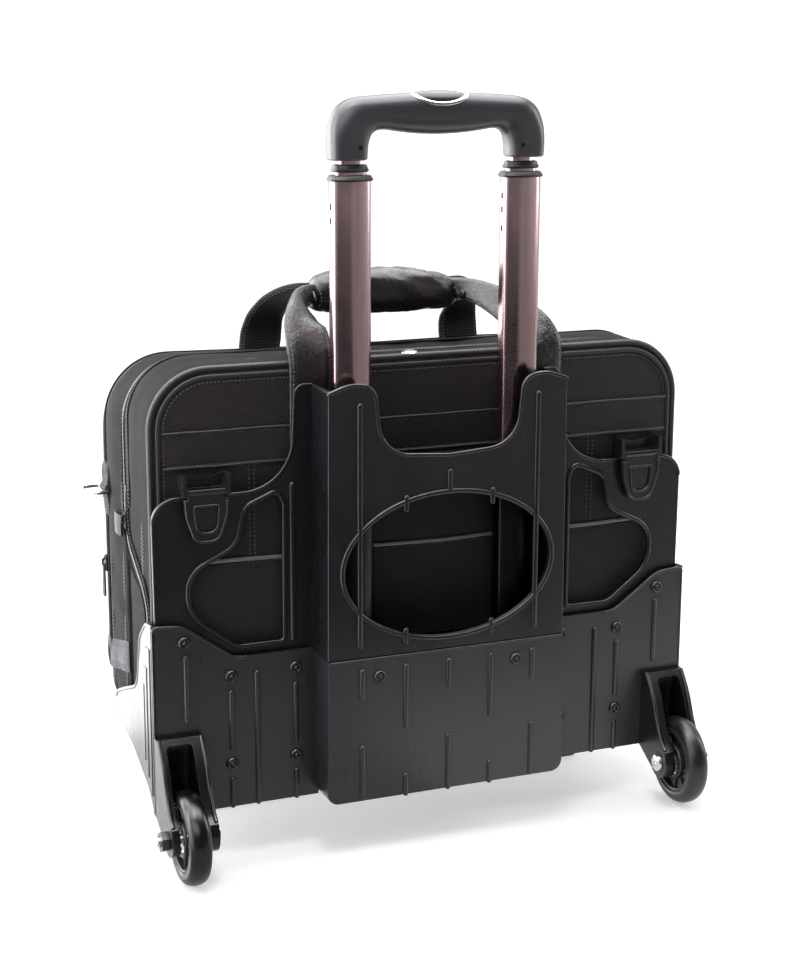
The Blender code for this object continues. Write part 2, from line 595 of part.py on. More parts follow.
press = prism(ellipse(0.0198, 0.0072, 0, TUBE_Y, 28), "Z", GRIP_TOP - 0.0060, GRIP_TOP + 0.0022)
piece("grip_button", press, BUTTON, button)

# ---------------------------------------------------------------- bag
rear_line = rounded([(-BAG_HALF, BAG_FOOT, 0.014), (BAG_HALF, BAG_FOOT, 0.014),
                     (BAG_HALF, BAG_TOP, 0.044), (-BAG_HALF, BAG_TOP, 0.044)], 5)
rear_in = rounded([(-0.2100, 0.0940, 0.010), (0.2100, 0.0940, 0.010),
                   (0.2100, 0.3670, 0.038), (-0.2100, 0.3670, 0.038)], 5)
rear = shape(prism(rear_line, "Y", BAG_BACK, SEAM1), cut=[prism(rear_in, "Y", BAG_BACK + 0.0060, SEAM1 + 0.01)])
piece("bag_rear_section", rear, NYLON, bag)

front_line = rounded([(-0.2175, BAG_FOOT, 0.016), (0.2175, BAG_FOOT, 0.016),
                      (0.2175, 0.3665, 0.050), (-0.2175, 0.3665, 0.050)], 5)
front_in = rounded([(-0.2110, 0.0940, 0.012), (0.2110, 0.0940, 0.012),
                    (0.2110, 0.3595, 0.044), (-0.2110, 0.3595, 0.044)], 5)
tabs = []
for side in (-1, 1):
    x0, x1 = sorted((side * 0.2165, side * 0.2212))
    tabs.append(box(x0, x1, 0.1260, 0.1380, 0.2580, 0.2790))
front_shape = shape(prism(front_line, "Y", SEAM1 + 0.0005, SEAM2), join=tabs,
                    cut=[prism(front_in, "Y", SEAM1 + 0.0045, SEAM2 + 0.01)] +
                        [turned([(-0.02, 0), (-0.02, 0.0022), (0.02, 0.0022), (0.02, 0)],
                                (side * 0.2196, 0.1320, 0.2618), "Y", 12) for side in (-1, 1)])
piece("bag_front_section", front_shape, NYLON, front)

panel_line = rounded([(-0.2150, 0.0915, 0.020), (0.2150, 0.0915, 0.020),
                      (0.2150, 0.3520, 0.052), (-0.2150, 0.3520, 0.052)], 5)
pouch_line = rounded([(-0.2142, 0.0945, 0.022), (0.2142, 0.0945, 0.022),
                      (0.2142, 0.2920, 0.028), (-0.2142, 0.2920, 0.028)], 3)
pocket_shape = shape(prism(panel_line, "Y", SEAM2 + 0.0005, PANEL_FRONT),
                     join=[prism(pouch_line, "Y", PANEL_FRONT - 0.002, POUCH_FRONT)])
piece("bag_front_pocket", pocket_shape, NYLON, pocket)

# shoulder strap rings, each hung in its tab
ring_at = (0.2196, 0.1320, 0.2618)
dring = bmesh.new()
loop = rounded([(-0.0130, 0.0, 0.0020), (0.0130, 0.0, 0.0020), (0.0130, -0.0175, 0.0125),
                (-0.0130, -0.0175, 0.0125)], 4)
rows = []
for i, (a, b) in enumerate(loop):
    pa, pb = Vector(loop[i - 1]), Vector(loop[(i + 1) % len(loop)])
    run = (pb - pa).normalized()
    out = Vector((run.y, -run.x))
    row = []
    for k in range(6):
        t = 2 * math.pi * k / 6
        q = Vector((a, b)) + out * 0.0015 * math.cos(t)
        row.append(dring.verts.new((ring_at[0] - 1.0 * q.y, ring_at[1] + q.x, ring_at[2] + 0.0015 * math.sin(t))))
    rows.append(row)
for i in range(len(rows)):
    first, second = rows[i], rows[(i + 1) % len(rows)]
    for k in range(6):
        j = (k + 1) % 6
        dring.faces.new((first[k], first[j], second[j], second[k]))
ring_r = pivot("strap_ring_right_axis", ring_at, front)
ring_l = pivot("strap_ring_left_axis", (-ring_at[0], ring_at[1], ring_at[2]), front)
pair("strap_ring", tidy(dring), NICKEL, (ring_l, ring_r))

# zip sliders on the left side
zip1_at, zip2_at = (-BAG_HALF - 0.0012, SEAM1, 0.2500), (-0.2187, SEAM2, 0.2000)
zip1, zip2 = pivot("main_zip_slide", zip1_at, bag), pivot("pocket_zip_slide", zip2_at, front)
for name, at, holder in (("main_zip_slider", zip1_at, zip1), ("pocket_zip_slider", zip2_at, zip2)):
    x1 = -0.2178 if holder is zip2 else -0.2178
    slider = shape(box(x1 - 0.0030, x1, at[1] - 0.0048, at[1] + 0.0048, at[2] - 0.0070, at[2] + 0.0060),
                   join=[box(x1 - 0.0040, x1 - 0.0022, at[1] - 0.0028, at[1] + 0.0028, at[2] - 0.0280, at[2] - 0.0020)])
    piece(name, slider, BUTTON, holder)

# carry handles and the wrap that holds them together
WRAP_X, WRAP_Y, WRAP_Z, WRAP_HALF = -0.0050, 0.0860, 0.4150, 0.0600


def arch(foot, top_y, shift):
    """Stations of a strap from its left foot over the wrap to the right foot."""
    top = [(WRAP_X + x, top_y, WRAP_Z, 0.0090) for x in (-0.0640, 0.0, 0.0640)]
    left = [(x + shift, y, z, w) for x, y, z, w in foot]
    right = [(shift - x, y, z, w) for x, y, z, w in reversed(foot)]
    return left + top + right


back_foot = [(-0.0940, 0.0065, 0.3080, 0.034), (-0.0940, 0.0065, 0.3748, 0.034), (-0.0935, 0.0090, 0.3860, 0.033),
             (-0.0925, 0.0240, 0.4010, 0.030), (-0.0880, 0.0480, 0.4100, 0.022), (-0.0790, 0.0700, 0.4140, 0.014)]
front_foot = [(-0.0900, 0.1330, 0.3680, 0.034), (-0.0900, 0.1320, 0.3830, 0.033), (-0.0890, 0.1230, 0.3980, 0.028),
              (-0.0850, 0.1090, 0.4090, 0.021), (-0.0770, 0.0990, 0.4145, 0.014)]
piece("carry_strap_rear", ribbon(arch(back_foot, WRAP_Y - 0.0035, 0.0), 0.0032), NYLON, bag)
piece("carry_strap_front", ribbon(arch(front_foot, WRAP_Y + 0.0035, -0.0050), 0.0036), NYLON, front)
wrap = shape(prism(round_rect(0.0300, 0.0340, 0.0100, WRAP_Y, WRAP_Z, 4), "X", WRAP_X - WRAP_HALF, WRAP_X + WRAP_HALF),
             cut=[box(-0.08, 0.07, WRAP_Y - 0.0062, WRAP_Y + 0.03, WRAP_Z - 0.0065, WRAP_Z + 0.0085)])
piece("carry_wrap", wrap, LEATHER, bag)

# ---------------------------------------------------------------- latches
clip_y, clip_z = CLIP_AXIS
base_body = box(CLIP_X - 0.0180, CLIP_X + 0.0180, -0.0078, 0.0082, WING_TOP + 0.0008, 0.2993)
notch = box(CLIP_X - 0.0140, CLIP_X + 0.0140, -0.0100, -0.0012, 0.2700, 0.2906)
hollow_top = turned([(-0.02, 0), (-0.02, 0.0300), (0.02, 0.0300), (0.02, 0)], (CLIP_X, 0.0, 0.3251), "Y", 48)
base = shape(base_body, cut=[notch, hollow_top])
pair("latch_base", base, CLIP, (bag, bag))
tongue_line = rounded([(CLIP_X - 0.0136, 0.2866, 0), (CLIP_X - 0.0136, 0.2819, 0), (CLIP_X - 0.0172, 0.2819, 0),
                       (CLIP_X - 0.0162, 0.2680, 0.0200), (CLIP_X - 0.0095, 0.2480, 0.0090),
                       (CLIP_X + 0.0095, 0.2480, 0.0090), (CLIP_X + 0.0162, 0.2680, 0.0200),
                       (CLIP_X + 0.0172, 0.2819, 0), (CLIP_X + 0.0136, 0.2819, 0), (CLIP_X + 0.0136, 0.2866, 0)], 4)
barrel = turned([(-0.0136, 0), (-0.0136, 0.0027), (0.0136, 0.0027), (0.0136, 0)],
                (CLIP_X, clip_y, clip_z), "X", 16)
thumb = rounded([(CLIP_X - 0.0100, 0.2760, 0.0010), (CLIP_X - 0.0072, 0.2550, 0.0060),
                 (CLIP_X + 0.0072, 0.2550, 0.0060), (CLIP_X + 0.0100, 0.2760, 0.0010)], 4)
tongue = shape(prism(tongue_line, "Y", clip_y - 0.0016, clip_y + 0.0026), join=[barrel],
               cut=[prism(thumb, "Y", -0.02, clip_y + 0.0006)])
pair("latch_tongue", tongue, CLIP, (clip_l, clip_r))
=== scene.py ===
import math
import random

import bmesh
import bpy
from mathutils import Matrix, Vector, noise


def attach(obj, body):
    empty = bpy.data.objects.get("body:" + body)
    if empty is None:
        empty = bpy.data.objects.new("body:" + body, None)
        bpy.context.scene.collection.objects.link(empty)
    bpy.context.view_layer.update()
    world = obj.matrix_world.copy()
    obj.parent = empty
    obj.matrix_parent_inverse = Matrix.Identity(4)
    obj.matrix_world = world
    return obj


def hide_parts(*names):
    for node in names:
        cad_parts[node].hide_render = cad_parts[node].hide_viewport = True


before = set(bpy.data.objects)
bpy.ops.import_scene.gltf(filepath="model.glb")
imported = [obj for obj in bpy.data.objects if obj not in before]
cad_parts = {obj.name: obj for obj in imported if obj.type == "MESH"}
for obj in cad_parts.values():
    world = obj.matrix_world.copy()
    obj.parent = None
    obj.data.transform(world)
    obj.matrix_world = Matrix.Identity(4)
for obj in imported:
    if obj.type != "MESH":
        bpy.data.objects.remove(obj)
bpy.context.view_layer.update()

Y0 = -0.0500               # modelling happens with the wing plates' face at y = 0
random.seed(7)

# ---------------------------------------------------------------- dimensions
WING_HALF, WING_T, WING_TOP, WING_FOOT = 0.2192, 0.0030, 0.2825, 0.1500
SHOULDER_X, SHOULDER_Z = 0.1100, 0.3600
CHANNEL_HALF, CHANNEL_FACE, CHANNEL_WALL, CHANNEL_FOOT = 0.0962, -0.0369, 0.0028, 0.1556
EAR_TOP, EAR_IN, SCOOP_Z = 0.3636, 0.0605, 0.3070
OVAL_A, OVAL_B, OVAL_Z = 0.0840, 0.0550, 0.2215
RIB_X = 0.0720
SKIRT_HALF, SKIRT_FACE, SKIRT_T, SKIRT_TOP = 0.2224, -0.0050, 0.0032, 0.1885
BAND_Z, SKIRT_FOOT, BOX_FACE = 0.1580, 0.0400, -0.0379
TRAY_LOW, TRAY_TOP, TRAY_FRONT, SIDE_T = 0.0832, 0.0862, 0.1080, 0.0030
WHEEL_X, AXLE_Y, AXLE_Z = 0.2065, -0.0378, 0.0353
WHEEL_R, WHEEL_W, TYRE_IN = 0.0353, 0.0168, 0.0256
SLOT_IN, SLOT_OUT, FORK_IN, FORK_OUT, FORK_TOP = 0.1957, 0.2170, 0.1867, 0.2224, 0.1032
TUBE_X, TUBE_Y = 0.0680, -0.0070
STAGE1, STAGE2 = (0.0296, 0.0196, 0.0048, 0.0012), (0.0236, 0.0140, 0.0036, 0.0011)
STAGE3, FIXED = (0.0166, 0.0092, 0.0024, 0.0011), (0.0330, 0.0230, 0.0052, 0.0013)
STAGE1_Z, STAGE2_Z, STAGE3_Z = (0.2070, 0.5070), (0.2250, 0.5135), (0.2350, 0.5400)
LEG_FOOT, GRIP_TOP = 0.5228, 0.5690
BAG_BACK, BAG_FOOT, BAG_TOP, BAG_HALF = 0.0085, 0.0870, 0.3740, 0.2165
SEAM1, SEAM2, PANEL_FRONT, POUCH_FRONT = 0.0755, 0.1395, 0.1540, 0.1731
CLIP_X, CLIP_Y, CLIP_Z = 0.1790, -0.0052, 0.2866
SIDES = ((-1, "left"), (1, "right"))


# ---------------------------------------------------------------- node helpers
class Mat:
    """A Principled material with small helpers for procedural detail."""

    def __init__(self, name, colour, rough, metallic=0.0, spec=0.5, coat=0.0, coat_rough=0.1, sheen=0.0):
        self.m = bpy.data.materials.new(name)
        self.m.use_nodes = True
        self.t = self.m.node_tree
        self.b = self.t.nodes["Principled BSDF"]
        self.set("Base Color", (*colour, 1.0))
        self.set("Roughness", rough)
        self.set("Metallic", metallic)
        self.set("Specular IOR Level", spec)
        self.set("Coat Weight", coat)
        self.set("Coat Roughness", coat_rough)
        self.set("Sheen Weight", sheen)
        self.set("Sheen Roughness", 0.5)
        self.colour, self.rough = colour, rough
        self.m.diffuse_color = (*colour, 1.0)
        self.coord = None
        self.height = None

    def set(self, socket, value):
        self.b.inputs[socket].default_value = value

    def node(self, kind, **values):
        n = self.t.nodes.new(kind)
        for k, v in values.items():
            if k.startswith("i_"):
                n.inputs[int(k[2:])].default_value = v
            else:
                setattr(n, k, v)
        return n

    def link(self, a, b):
        self.t.links.new(a, b)

    def place(self, scale=(1, 1, 1), turn=0.0, uv=False):
        c = self.node("ShaderNodeUVMap", uv_map="UVMap") if uv else self.node("ShaderNodeTexCoord")
        mp = self.node("ShaderNodeMapping")
        mp.inputs["Scale"].default_value = scale
        mp.inputs["Rotation"].default_value = (0, 0, turn)
        self.link(c.outputs["UV"] if uv else c.outputs["Object"], mp.inputs["Vector"])
        return mp.outputs["Vector"]

    def noise(self, scale, detail=2.0, rough=0.5, stretch=(1, 1, 1), uv=False):
        n = self.node("ShaderNodeTexNoise")
        n.inputs["Scale"].default_value = scale
        n.inputs["Detail"].default_value = detail
        n.inputs["Roughness"].default_value = rough
        self.link(self.place(stretch, uv=uv), n.inputs["Vector"])
        return n.outputs[0]

    def cells(self, scale, uv=False, feature="F1", stretch=(1, 1, 1)):
        n = self.node("ShaderNodeTexVoronoi", feature=feature)
        n.inputs["Scale"].default_value = scale
        self.link(self.place(stretch, uv=uv), n.inputs["Vector"])
        return n.outputs[0]

    def wave(self, scale, turn=0.0, uv=True, distort=0.0, dscale=1.0, profile="SIN", direction="X", stretch=(1, 1, 1)):
        n = self.node("ShaderNodeTexWave", wave_type="BANDS", bands_direction=direction, wave_profile=profile)
        n.inputs["Scale"].default_value = scale
        n.inputs["Distortion"].default_value = distort
        n.inputs["Detail"].default_value = 1.0
        n.inputs["Detail Scale"].default_value = dscale
        self.link(self.place(stretch, turn=turn, uv=uv), n.inputs["Vector"])
        return n.outputs["Fac"]

    def math(self, op, a, b, c=None):
        n = self.node("ShaderNodeMath", operation=op)
        for i, v in enumerate((a, b, c)):
            if v is None:
                continue
            if isinstance(v, (int, float)):
                n.inputs[i].default_value = v
            else:
                self.link(v, n.inputs[i])
        return n.outputs[0]

    def fit(self, v, a, b, lo, hi):
        n = self.node("ShaderNodeMapRange")
        n.inputs[1].default_value, n.inputs[2].default_value = a, b
        n.inputs[3].default_value, n.inputs[4].default_value = lo, hi
        self.link(v, n.inputs[0])
        return n.outputs[0]

    def tint(self, fac, low, high):
        n = self.node("ShaderNodeMix", data_type="RGBA")
        n.inputs[6].default_value = (*low, 1.0)
        n.inputs[7].default_value = (*high, 1.0)
        self.link(fac, n.inputs[0])
        return n.outputs[2]

    def bump(self, height, distance, strength=1.0):
        n = self.node("ShaderNodeBump")
        n.inputs["Distance"].default_value = distance
        n.inputs["Strength"].default_value = strength
        self.link(height, n.inputs["Height"])
        if self.height is not None:
            self.link(self.height, n.inputs["Normal"])
        self.height = n.outputs["Normal"]
        self.link(self.height, self.b.inputs["Normal"])


def scaled(c, k):
    return tuple(min(1.0, v * k) for v in c)


def plastic(name, colour, rough, spec=0.45, grain=0.00004, wave=0.0, coat=0.0, scuff=0.07):
    """Moulded plastic: spark-eroded grain, faint flow marks and handling scuffs."""
    m = Mat(name, colour, rough, spec=spec, coat=coat)
    m.bump(m.noise(2600.0, 2.0, 0.6), grain)
    if wave:
        m.bump(m.noise(9.0, 1.0, 0.4), wave)
    smear = m.noise(14.0, 5.0, 0.65, (1.0, 1.0, 0.35))
    scratch = m.noise(120.0, 3.0, 0.7, (1.0, 1.0, 0.10))
    r = m.math("ADD", m.fit(smear, 0.35, 0.68, rough - scuff, rough + scuff),
               m.fit(scratch, 0.55, 0.75, 0.0, 0.02))
    m.link(r, m.b.inputs["Roughness"])
    m.link(m.tint(m.fit(smear, 0.3, 0.75, 0, 1), scaled(colour, 0.85), scaled(colour, 1.25)), m.b.inputs["Base Color"])
    return m.m


def woven(name, colour, pitch, turn, depth=0.00022, rough=0.55, spec=0.5, sheen=0.12, contrast=0.55, ridge_highlight=1.25):
    """Diagonal twill: bundles of yarn with short floats across them, with painted shade darkening the weave's valleys
    and painted highlight lightening its ridges.
    """
    m = Mat(name, colour, rough, spec=spec, sheen=sheen)
    k = 1.0 / pitch * 0.3183 / 2.0 * math.pi
    slow = m.noise(60.0, 2.0, 0.5, uv=True)
    diag = m.wave(k * 0.5, turn, distort=0.6, dscale=40.0)
    floats = m.wave(k * 0.9, turn + math.radians(62), distort=0.5, dscale=60.0)
    fine = m.wave(k * 2.6, turn + math.radians(20), distort=0.8, dscale=80.0)
    h = m.math("ADD", m.math("MULTIPLY", diag, 0.72), m.math("MULTIPLY", floats, 0.28))
    h = m.math("ADD", h, m.math("MULTIPLY", fine, 0.10))
    h = m.math("ADD", h, m.math("MULTIPLY", slow, 0.10))
    m.bump(h, depth)
    m.bump(m.noise(24.0, 3.0, 0.5), 0.0006)
    # painted shade and highlight: the colour follows the weave height, darker in its valleys and lighter on its ridges
    shade = m.fit(h, 0.2, 1.0, 0, 1)
    m.link(m.tint(shade, scaled(colour, 1.0 - contrast), scaled(colour, ridge_highlight)), m.b.inputs["Base Color"])
    m.link(m.fit(h, 0.2, 1.0, min(1.0, rough + 0.16), rough - 0.04), m.b.inputs["Roughness"])
    return m.m


def leather(name, colour, rough, crease=0.0009, pebble=0.00022, scale=900.0):
    """Soft leather: pebbled grain, long creases that catch the light, worn high spots."""
    m = Mat(name, colour, rough, spec=0.5, coat=0.12, coat_rough=0.35)
    cell = m.cells(scale, feature="DISTANCE_TO_EDGE")
    m.bump(m.fit(cell, 0.0, 0.30, 0, 1), pebble)
    m.bump(m.noise(70.0, 4.0, 0.62), crease)
    m.bump(m.noise(2400.0, 2.0, 0.5), 0.00003)
    worn = m.noise(32.0, 4.0, 0.6)
    m.link(m.tint(m.fit(worn, 0.35, 0.7, 0, 1), scaled(colour, 0.75), scaled(colour, 1.5)), m.b.inputs["Base Color"])
    m.link(m.fit(worn, 0.3, 0.7, rough + 0.10, rough - 0.10), m.b.inputs["Roughness"])
    return m.m


def metal(name, colour, rough, stretch=(1, 1, 1), scale=900.0, bump=0.00001, vary=0.06):
    """Polished or drawn metal with fine lines along the draw and faint finger smears."""
    m = Mat(name, colour, rough, metallic=1.0)
    line = m.noise(scale, 3.0, 0.6, stretch)
    m.bump(line, bump)
    smear = m.noise(22.0, 4.0, 0.6)
    r = m.math("ADD", m.fit(line, 0.3, 0.7, rough - vary, rough + vary), m.fit(smear, 0.4, 0.7, -0.02, 0.05))
    m.link(r, m.b.inputs["Roughness"])
    m.link(m.tint(m.fit(line, 0.3, 0.7, 0, 1), scaled(colour, 0.90), scaled(colour, 1.06)), m.b.inputs["Base Color"])
    return m.m


SHELL = plastic("shell_plastic", (0.0068, 0.0065, 0.0085), 0.29, spec=0.50, wave=0.0009)
SHELL2 = plastic("base_plastic", (0.0175, 0.0156, 0.0192), 0.31, spec=0.52, wave=0.0014)
FORK = plastic("fork_plastic", (0.0055, 0.0055, 0.0070), 0.28, spec=0.5, grain=0.00003)
RIVET = plastic("rivet_plastic", (0.010, 0.010, 0.012), 0.24, spec=0.55, grain=0.00002)
CLIP = plastic("clip_plastic", (0.0115, 0.0115, 0.0135), 0.27, spec=0.5, grain=0.00003)
COLLAR = plastic("collar_plastic", (0.011, 0.010, 0.010), 0.40)
GRIP = plastic("soft_touch_grip", (0.0240, 0.0235, 0.0285), 0.34, spec=0.60, grain=0.00005, wave=0.0008, scuff=0.06)
BUTTON = plastic("button_plastic", (0.022, 0.018, 0.020), 0.30)
TYRE = plastic("tyre_rubber", (0.0045, 0.0045, 0.0055), 0.28, spec=0.42, grain=0.00005, scuff=0.10)
HUB = plastic("hub_nylon", (0.0125, 0.0125, 0.0135), 0.36)
RUBBER = plastic("foot_rubber_worn", (0.020, 0.020, 0.020), 0.75, grain=0.00010)
ROSE = metal("rose_anodised", (0.385, 0.268, 0.274), 0.18, (1.0, 1.0, 0.012), 800.0, 0.000002, 0.03)
DARK = metal("dark_anodised", (0.030, 0.027, 0.030), 0.30, (1.0, 1.0, 0.012), 1200.0)
NICKEL = metal("bright_nickel", (0.78, 0.76, 0.73), 0.14)
STEEL = metal("zinc_steel", (0.70, 0.71, 0.72), 0.22)
# the twill's weave is painted strongly: painted shade in its valleys, painted highlight on its ridges
TWILL = woven("ballistic_twill", (0.0175, 0.0138, 0.0175), 0.00135, math.radians(-58), depth=0.00026, rough=0.60, spec=0.20, sheen=0.0,
              contrast=0.80, ridge_highlight=1.6)
GUSSET = woven("gusset_nylon", (0.0135, 0.0118, 0.0140), 0.00110, math.radians(35), depth=0.00014, rough=0.66,
               spec=0.06, sheen=0.0, contrast=0.45)
WEB = woven("webbing", (0.0130, 0.0118, 0.0138), 0.00190, math.radians(90), depth=0.00032, rough=0.60, spec=0.25, sheen=0.0, contrast=0.6)
LINING = woven("lining_nylon", (0.070, 0.068, 0.072), 0.00080, math.radians(45), depth=0.00006, rough=0.60, contrast=0.2)
FACING = woven("facing_cloth", (0.0120, 0.0098, 0.0122), 0.00110, math.radians(35), depth=0.00012, rough=0.60, spec=0.2, sheen=0.0,
               contrast=0.4)
SLIDER = plastic("black_painted_zinc", (0.0080, 0.0075, 0.0085), 0.50, spec=0.22)
LEATHER = leather("trim_leather", (0.0125, 0.0112, 0.0132), 0.25, crease=0.0016, pebble=0.00008)
TRIM_BAND = leather("band_leather", (0.0140, 0.0125, 0.0150), 0.36, crease=0.0005, pebble=0.00012)
WRAP_LEATHER = leather("wrap_leather", (0.0065, 0.0058, 0.0070), 0.25, crease=0.0012, pebble=0.00006)
PATCH_LEATHER = leather("patch_leather", (0.034, 0.032, 0.039), 0.55)
for socket, amount in (("Specular IOR Level", 0.22), ("Coat Weight", 0.0)):
    PATCH_LEATHER.node_tree.nodes["Principled BSDF"].inputs[socket].default_value = amount
BINDING = woven("binding_tape", (0.0105, 0.0094, 0.0112), 0.00120, 0.0, depth=0.00014, rough=0.42, spec=0.50, sheen=0.0, contrast=0.4)


def plain(name, colour, rough, metallic=0.0, spec=0.5, grain=0.00003):
    m = Mat(name, colour, rough, metallic=metallic, spec=spec)
    m.bump(m.noise(3000.0, 2.0), grain)
    v = m.noise(200.0, 3.0)
    m.link(m.fit(v, 0.3, 0.7, rough - 0.06, rough + 0.06), m.b.inputs["Roughness"])
    m.link(m.tint(v, scaled(colour, 0.75), scaled(colour, 1.25)), m.b.inputs["Base Color"])
    return m.m


THREAD = plain("thread", (0.045, 0.040, 0.045), 0.55)
THREAD_LIGHT = plain("thread_light", (0.150, 0.138, 0.148), 0.55, spec=0.3)
COIL = plain("zip_coil", (0.020, 0.018, 0.021), 0.28, spec=0.7)
TAPE = plain("zip_tape", (0.0055, 0.0050, 0.0058), 0.70, spec=0.20)
DARKNESS = plain("shadow_gap", (0.004, 0.004, 0.004), 0.8, spec=0.1)


# ---------------------------------------------------------------- outlines
def rounded(corners, seg=12):
    out = []
    n = len(corners)
    for i in range(n):
        a, b, r = corners[i]
        p = Vector((a, b))
        before = Vector(corners[i - 1][:2]) - p
        after = Vector(corners[(i + 1) % n][:2]) - p
        if r <= 0.0:
            out.append((p.x, p.y))
            continue
        u, v = before.normalized(), after.normalized()
        half = math.acos(max(-1.0, min(1.0, u.dot(v)))) / 2.0
        if half > math.radians(88.5):
            out.append((p.x, p.y))
            continue
        reach = min(r / math.tan(half), before.length * 0.49, after.length * 0.49)
        radius = reach * math.tan(half)
        centre = p + (u + v).normalized() * (radius / math.sin(half))
        s, e = p + u * reach - centre, p + v * reach - centre
        turn = math.atan2(s.x * e.y - s.y * e.x, s.dot(e))
        for k in range(seg + 1):
            t = turn * k / seg
            c, d = math.cos(t), math.sin(t)
            q = centre + Vector((s.x * c - s.y * d, s.x * d + s.y * c))
            out.append((q.x, q.y))
    return out


def round_rect(width, depth, corner, cx=0.0, cy=0.0, seg=8):
    w, d = width / 2.0, depth / 2.0
    return rounded([(cx - w, cy - d, corner), (cx + w, cy - d, corner),
                    (cx + w, cy + d, corner), (cx - w, cy + d, corner)], seg)


def barrel(width, depth, crown, cx=0.0, cy=0.0, seg=20, edge=0.0012):
    w, h = width / 2.0, depth / 2.0 - crown
    radius = (w * w + crown * crown) / (2.0 * crown)
    sweep = math.asin(w / radius)
    arc = [(radius * math.sin(-sweep + 2.0 * sweep * k / seg),
            h + crown - radius + radius * math.cos(-sweep + 2.0 * sweep * k / seg)) for k in range(seg + 1)]
    half = [(arc[0][0], arc[0][1] - edge)] + arc[1:-1] + [(arc[-1][0], arc[-1][1] - edge)]
    half[1:1] = [(arc[0][0] + edge * 0.5, arc[0][1])]
    half[-1:-1] = [(arc[-1][0] - edge * 0.5, arc[-1][1])]
    line = half + [(-a, -b) for a, b in half]
    return [(cx + a, cy + b) for a, b in line]


def ellipse(a, b, ca, cb, steps=96):
    return [(ca + a * math.cos(2 * math.pi * i / steps), cb + b * math.sin(2 * math.pi * i / steps))
            for i in range(steps)]


def mirrored(outline):
    return [(-a, b) for a, b in reversed(outline)]


def place(axis, a, b, c):
    return {"X": (c, a, b), "Y": (a, c, b), "Z": (a, b, c)}[axis]


def smooth01(t):
    t = max(0.0, min(1.0, t))
    return t * t * (3 - 2 * t)


def curve(points, per=10, closed=False):
    """Catmull-Rom line through tuples of any length."""
    n, out = len(points), []
    for i in range(n if closed else n - 1):
        if closed:
            p0, p1, p2, p3 = (points[(i + k) % n] for k in (-1, 0, 1, 2))
        else:
            p0, p1, p2, p3 = points[max(i - 1, 0)], points[i], points[i + 1], points[min(i + 2, n - 1)]
        for k in range(per):
            t = k / per
            out.append(tuple(0.5 * (2 * b + (c - a) * t + (2 * a - 5 * b + 4 * c - d) * t * t +
                                    (3 * b - a - 3 * c + d) * t ** 3) for a, b, c, d in zip(p0, p1, p2, p3)))
    if not closed:
        out.append(tuple(points[-1]))
    return out


def walk(points, step, closed=False):
    """Evenly spaced points along a 3D line."""
    pts = [Vector(p) for p in points]
    if closed:
        pts = pts + [pts[0]]
    length = sum((b - a).length for a, b in zip(pts, pts[1:]))
    count = max(2, int(round(length / step)))
    out, gap, target, run = [], length / count, 0.0, 0.0
    for a, b in zip(pts, pts[1:]):
        d = (b - a).length
        while target <= run + d + 1e-12 and len(out) < count + (0 if closed else 1):
            out.append(a.lerp(b, (target - run) / d if d > 1e-12 else 0.0))
            target += gap
        run += d
    while len(out) < count + (0 if closed else 1):
        out.append(pts[-1].copy())
    return out


# ---------------------------------------------------------------- solid pieces as (verts, faces)
class G:
    def __init__(self):
        self.v, self.f = [], []

    def add(self, other, move=(0, 0, 0)):
        k = len(self.v)
        v, f = (other.v, other.f) if isinstance(other, G) else other
        self.v += [(a + move[0], b + move[1], c + move[2]) for a, b, c in v]
        self.f += [tuple(i + k for i in face) for face in f]
        return self

    def mirror(self):
        g = G()
        g.v = [(-a, b, c) for a, b, c in self.v]
        g.f = [tuple(reversed(face)) for face in self.f]
        return g

    def mesh(self, name="work"):
        m = bpy.data.meshes.new(name)
        m.from_pydata([tuple(p) for p in self.v], [], self.f)
        m.validate()
        return m


def prism(outline, axis, low, high):
    g, n = G(), len(outline)
    g.v = [place(axis, a, b, low) for a, b in outline] + [place(axis, a, b, high) for a, b in outline]
    g.f = [tuple(range(n)), tuple(range(2 * n - 1, n - 1, -1))] + \
          [(i, (i + 1) % n + 0, (i + 1) % n + n, i + n) for i in range(n)]
    return g


def sleeve(outer, inner, axis, low, high):
    g, n = G(), len(outer)
    for line, c in ((outer, low), (outer, high), (inner, high), (inner, low)):
        g.v += [place(axis, a, b, c) for a, b in line]
    for k in range(4):
        for i in range(n):
            j = (i + 1) % n
            g.f.append((k * n + i, k * n + j, (k + 1) % 4 * n + j, (k + 1) % 4 * n + i))
    return g


def box(x0, x1, y0, y1, z0, z1):
    return prism([(x0, z0), (x1, z0), (x1, z1), (x0, z1)], "Y", y0, y1)


def turned(profile, centre, axis="X", steps=64):
    g, rows = G(), []
    for along, radius in profile:
        count = 1 if radius < 1e-6 else steps
        row = []
        for i in range(count):
            t = 2 * math.pi * i / steps
            c, s = radius * math.cos(t), radius * math.sin(t)
            local = {"X": (along, c, s), "Y": (c, along, s), "Z": (c, s, along)}[axis]
            row.append(len(g.v))
            g.v.append(tuple(Vector(centre) + Vector(local)))
        rows.append(row)
    for k in range(len(rows)):
        a, b = rows[k], rows[(k + 1) % len(rows)]
        if len(a) == 1 and len(b) == 1:
            continue
        for i in range(steps):
            j = (i + 1) % steps
            if len(a) == 1:
                g.f.append((a[0], b[j], b[i]))
            elif len(b) == 1:
                g.f.append((a[i], a[j], b[0]))
            else:
                g.f.append((a[i], a[j], b[j], b[i]))
    return g


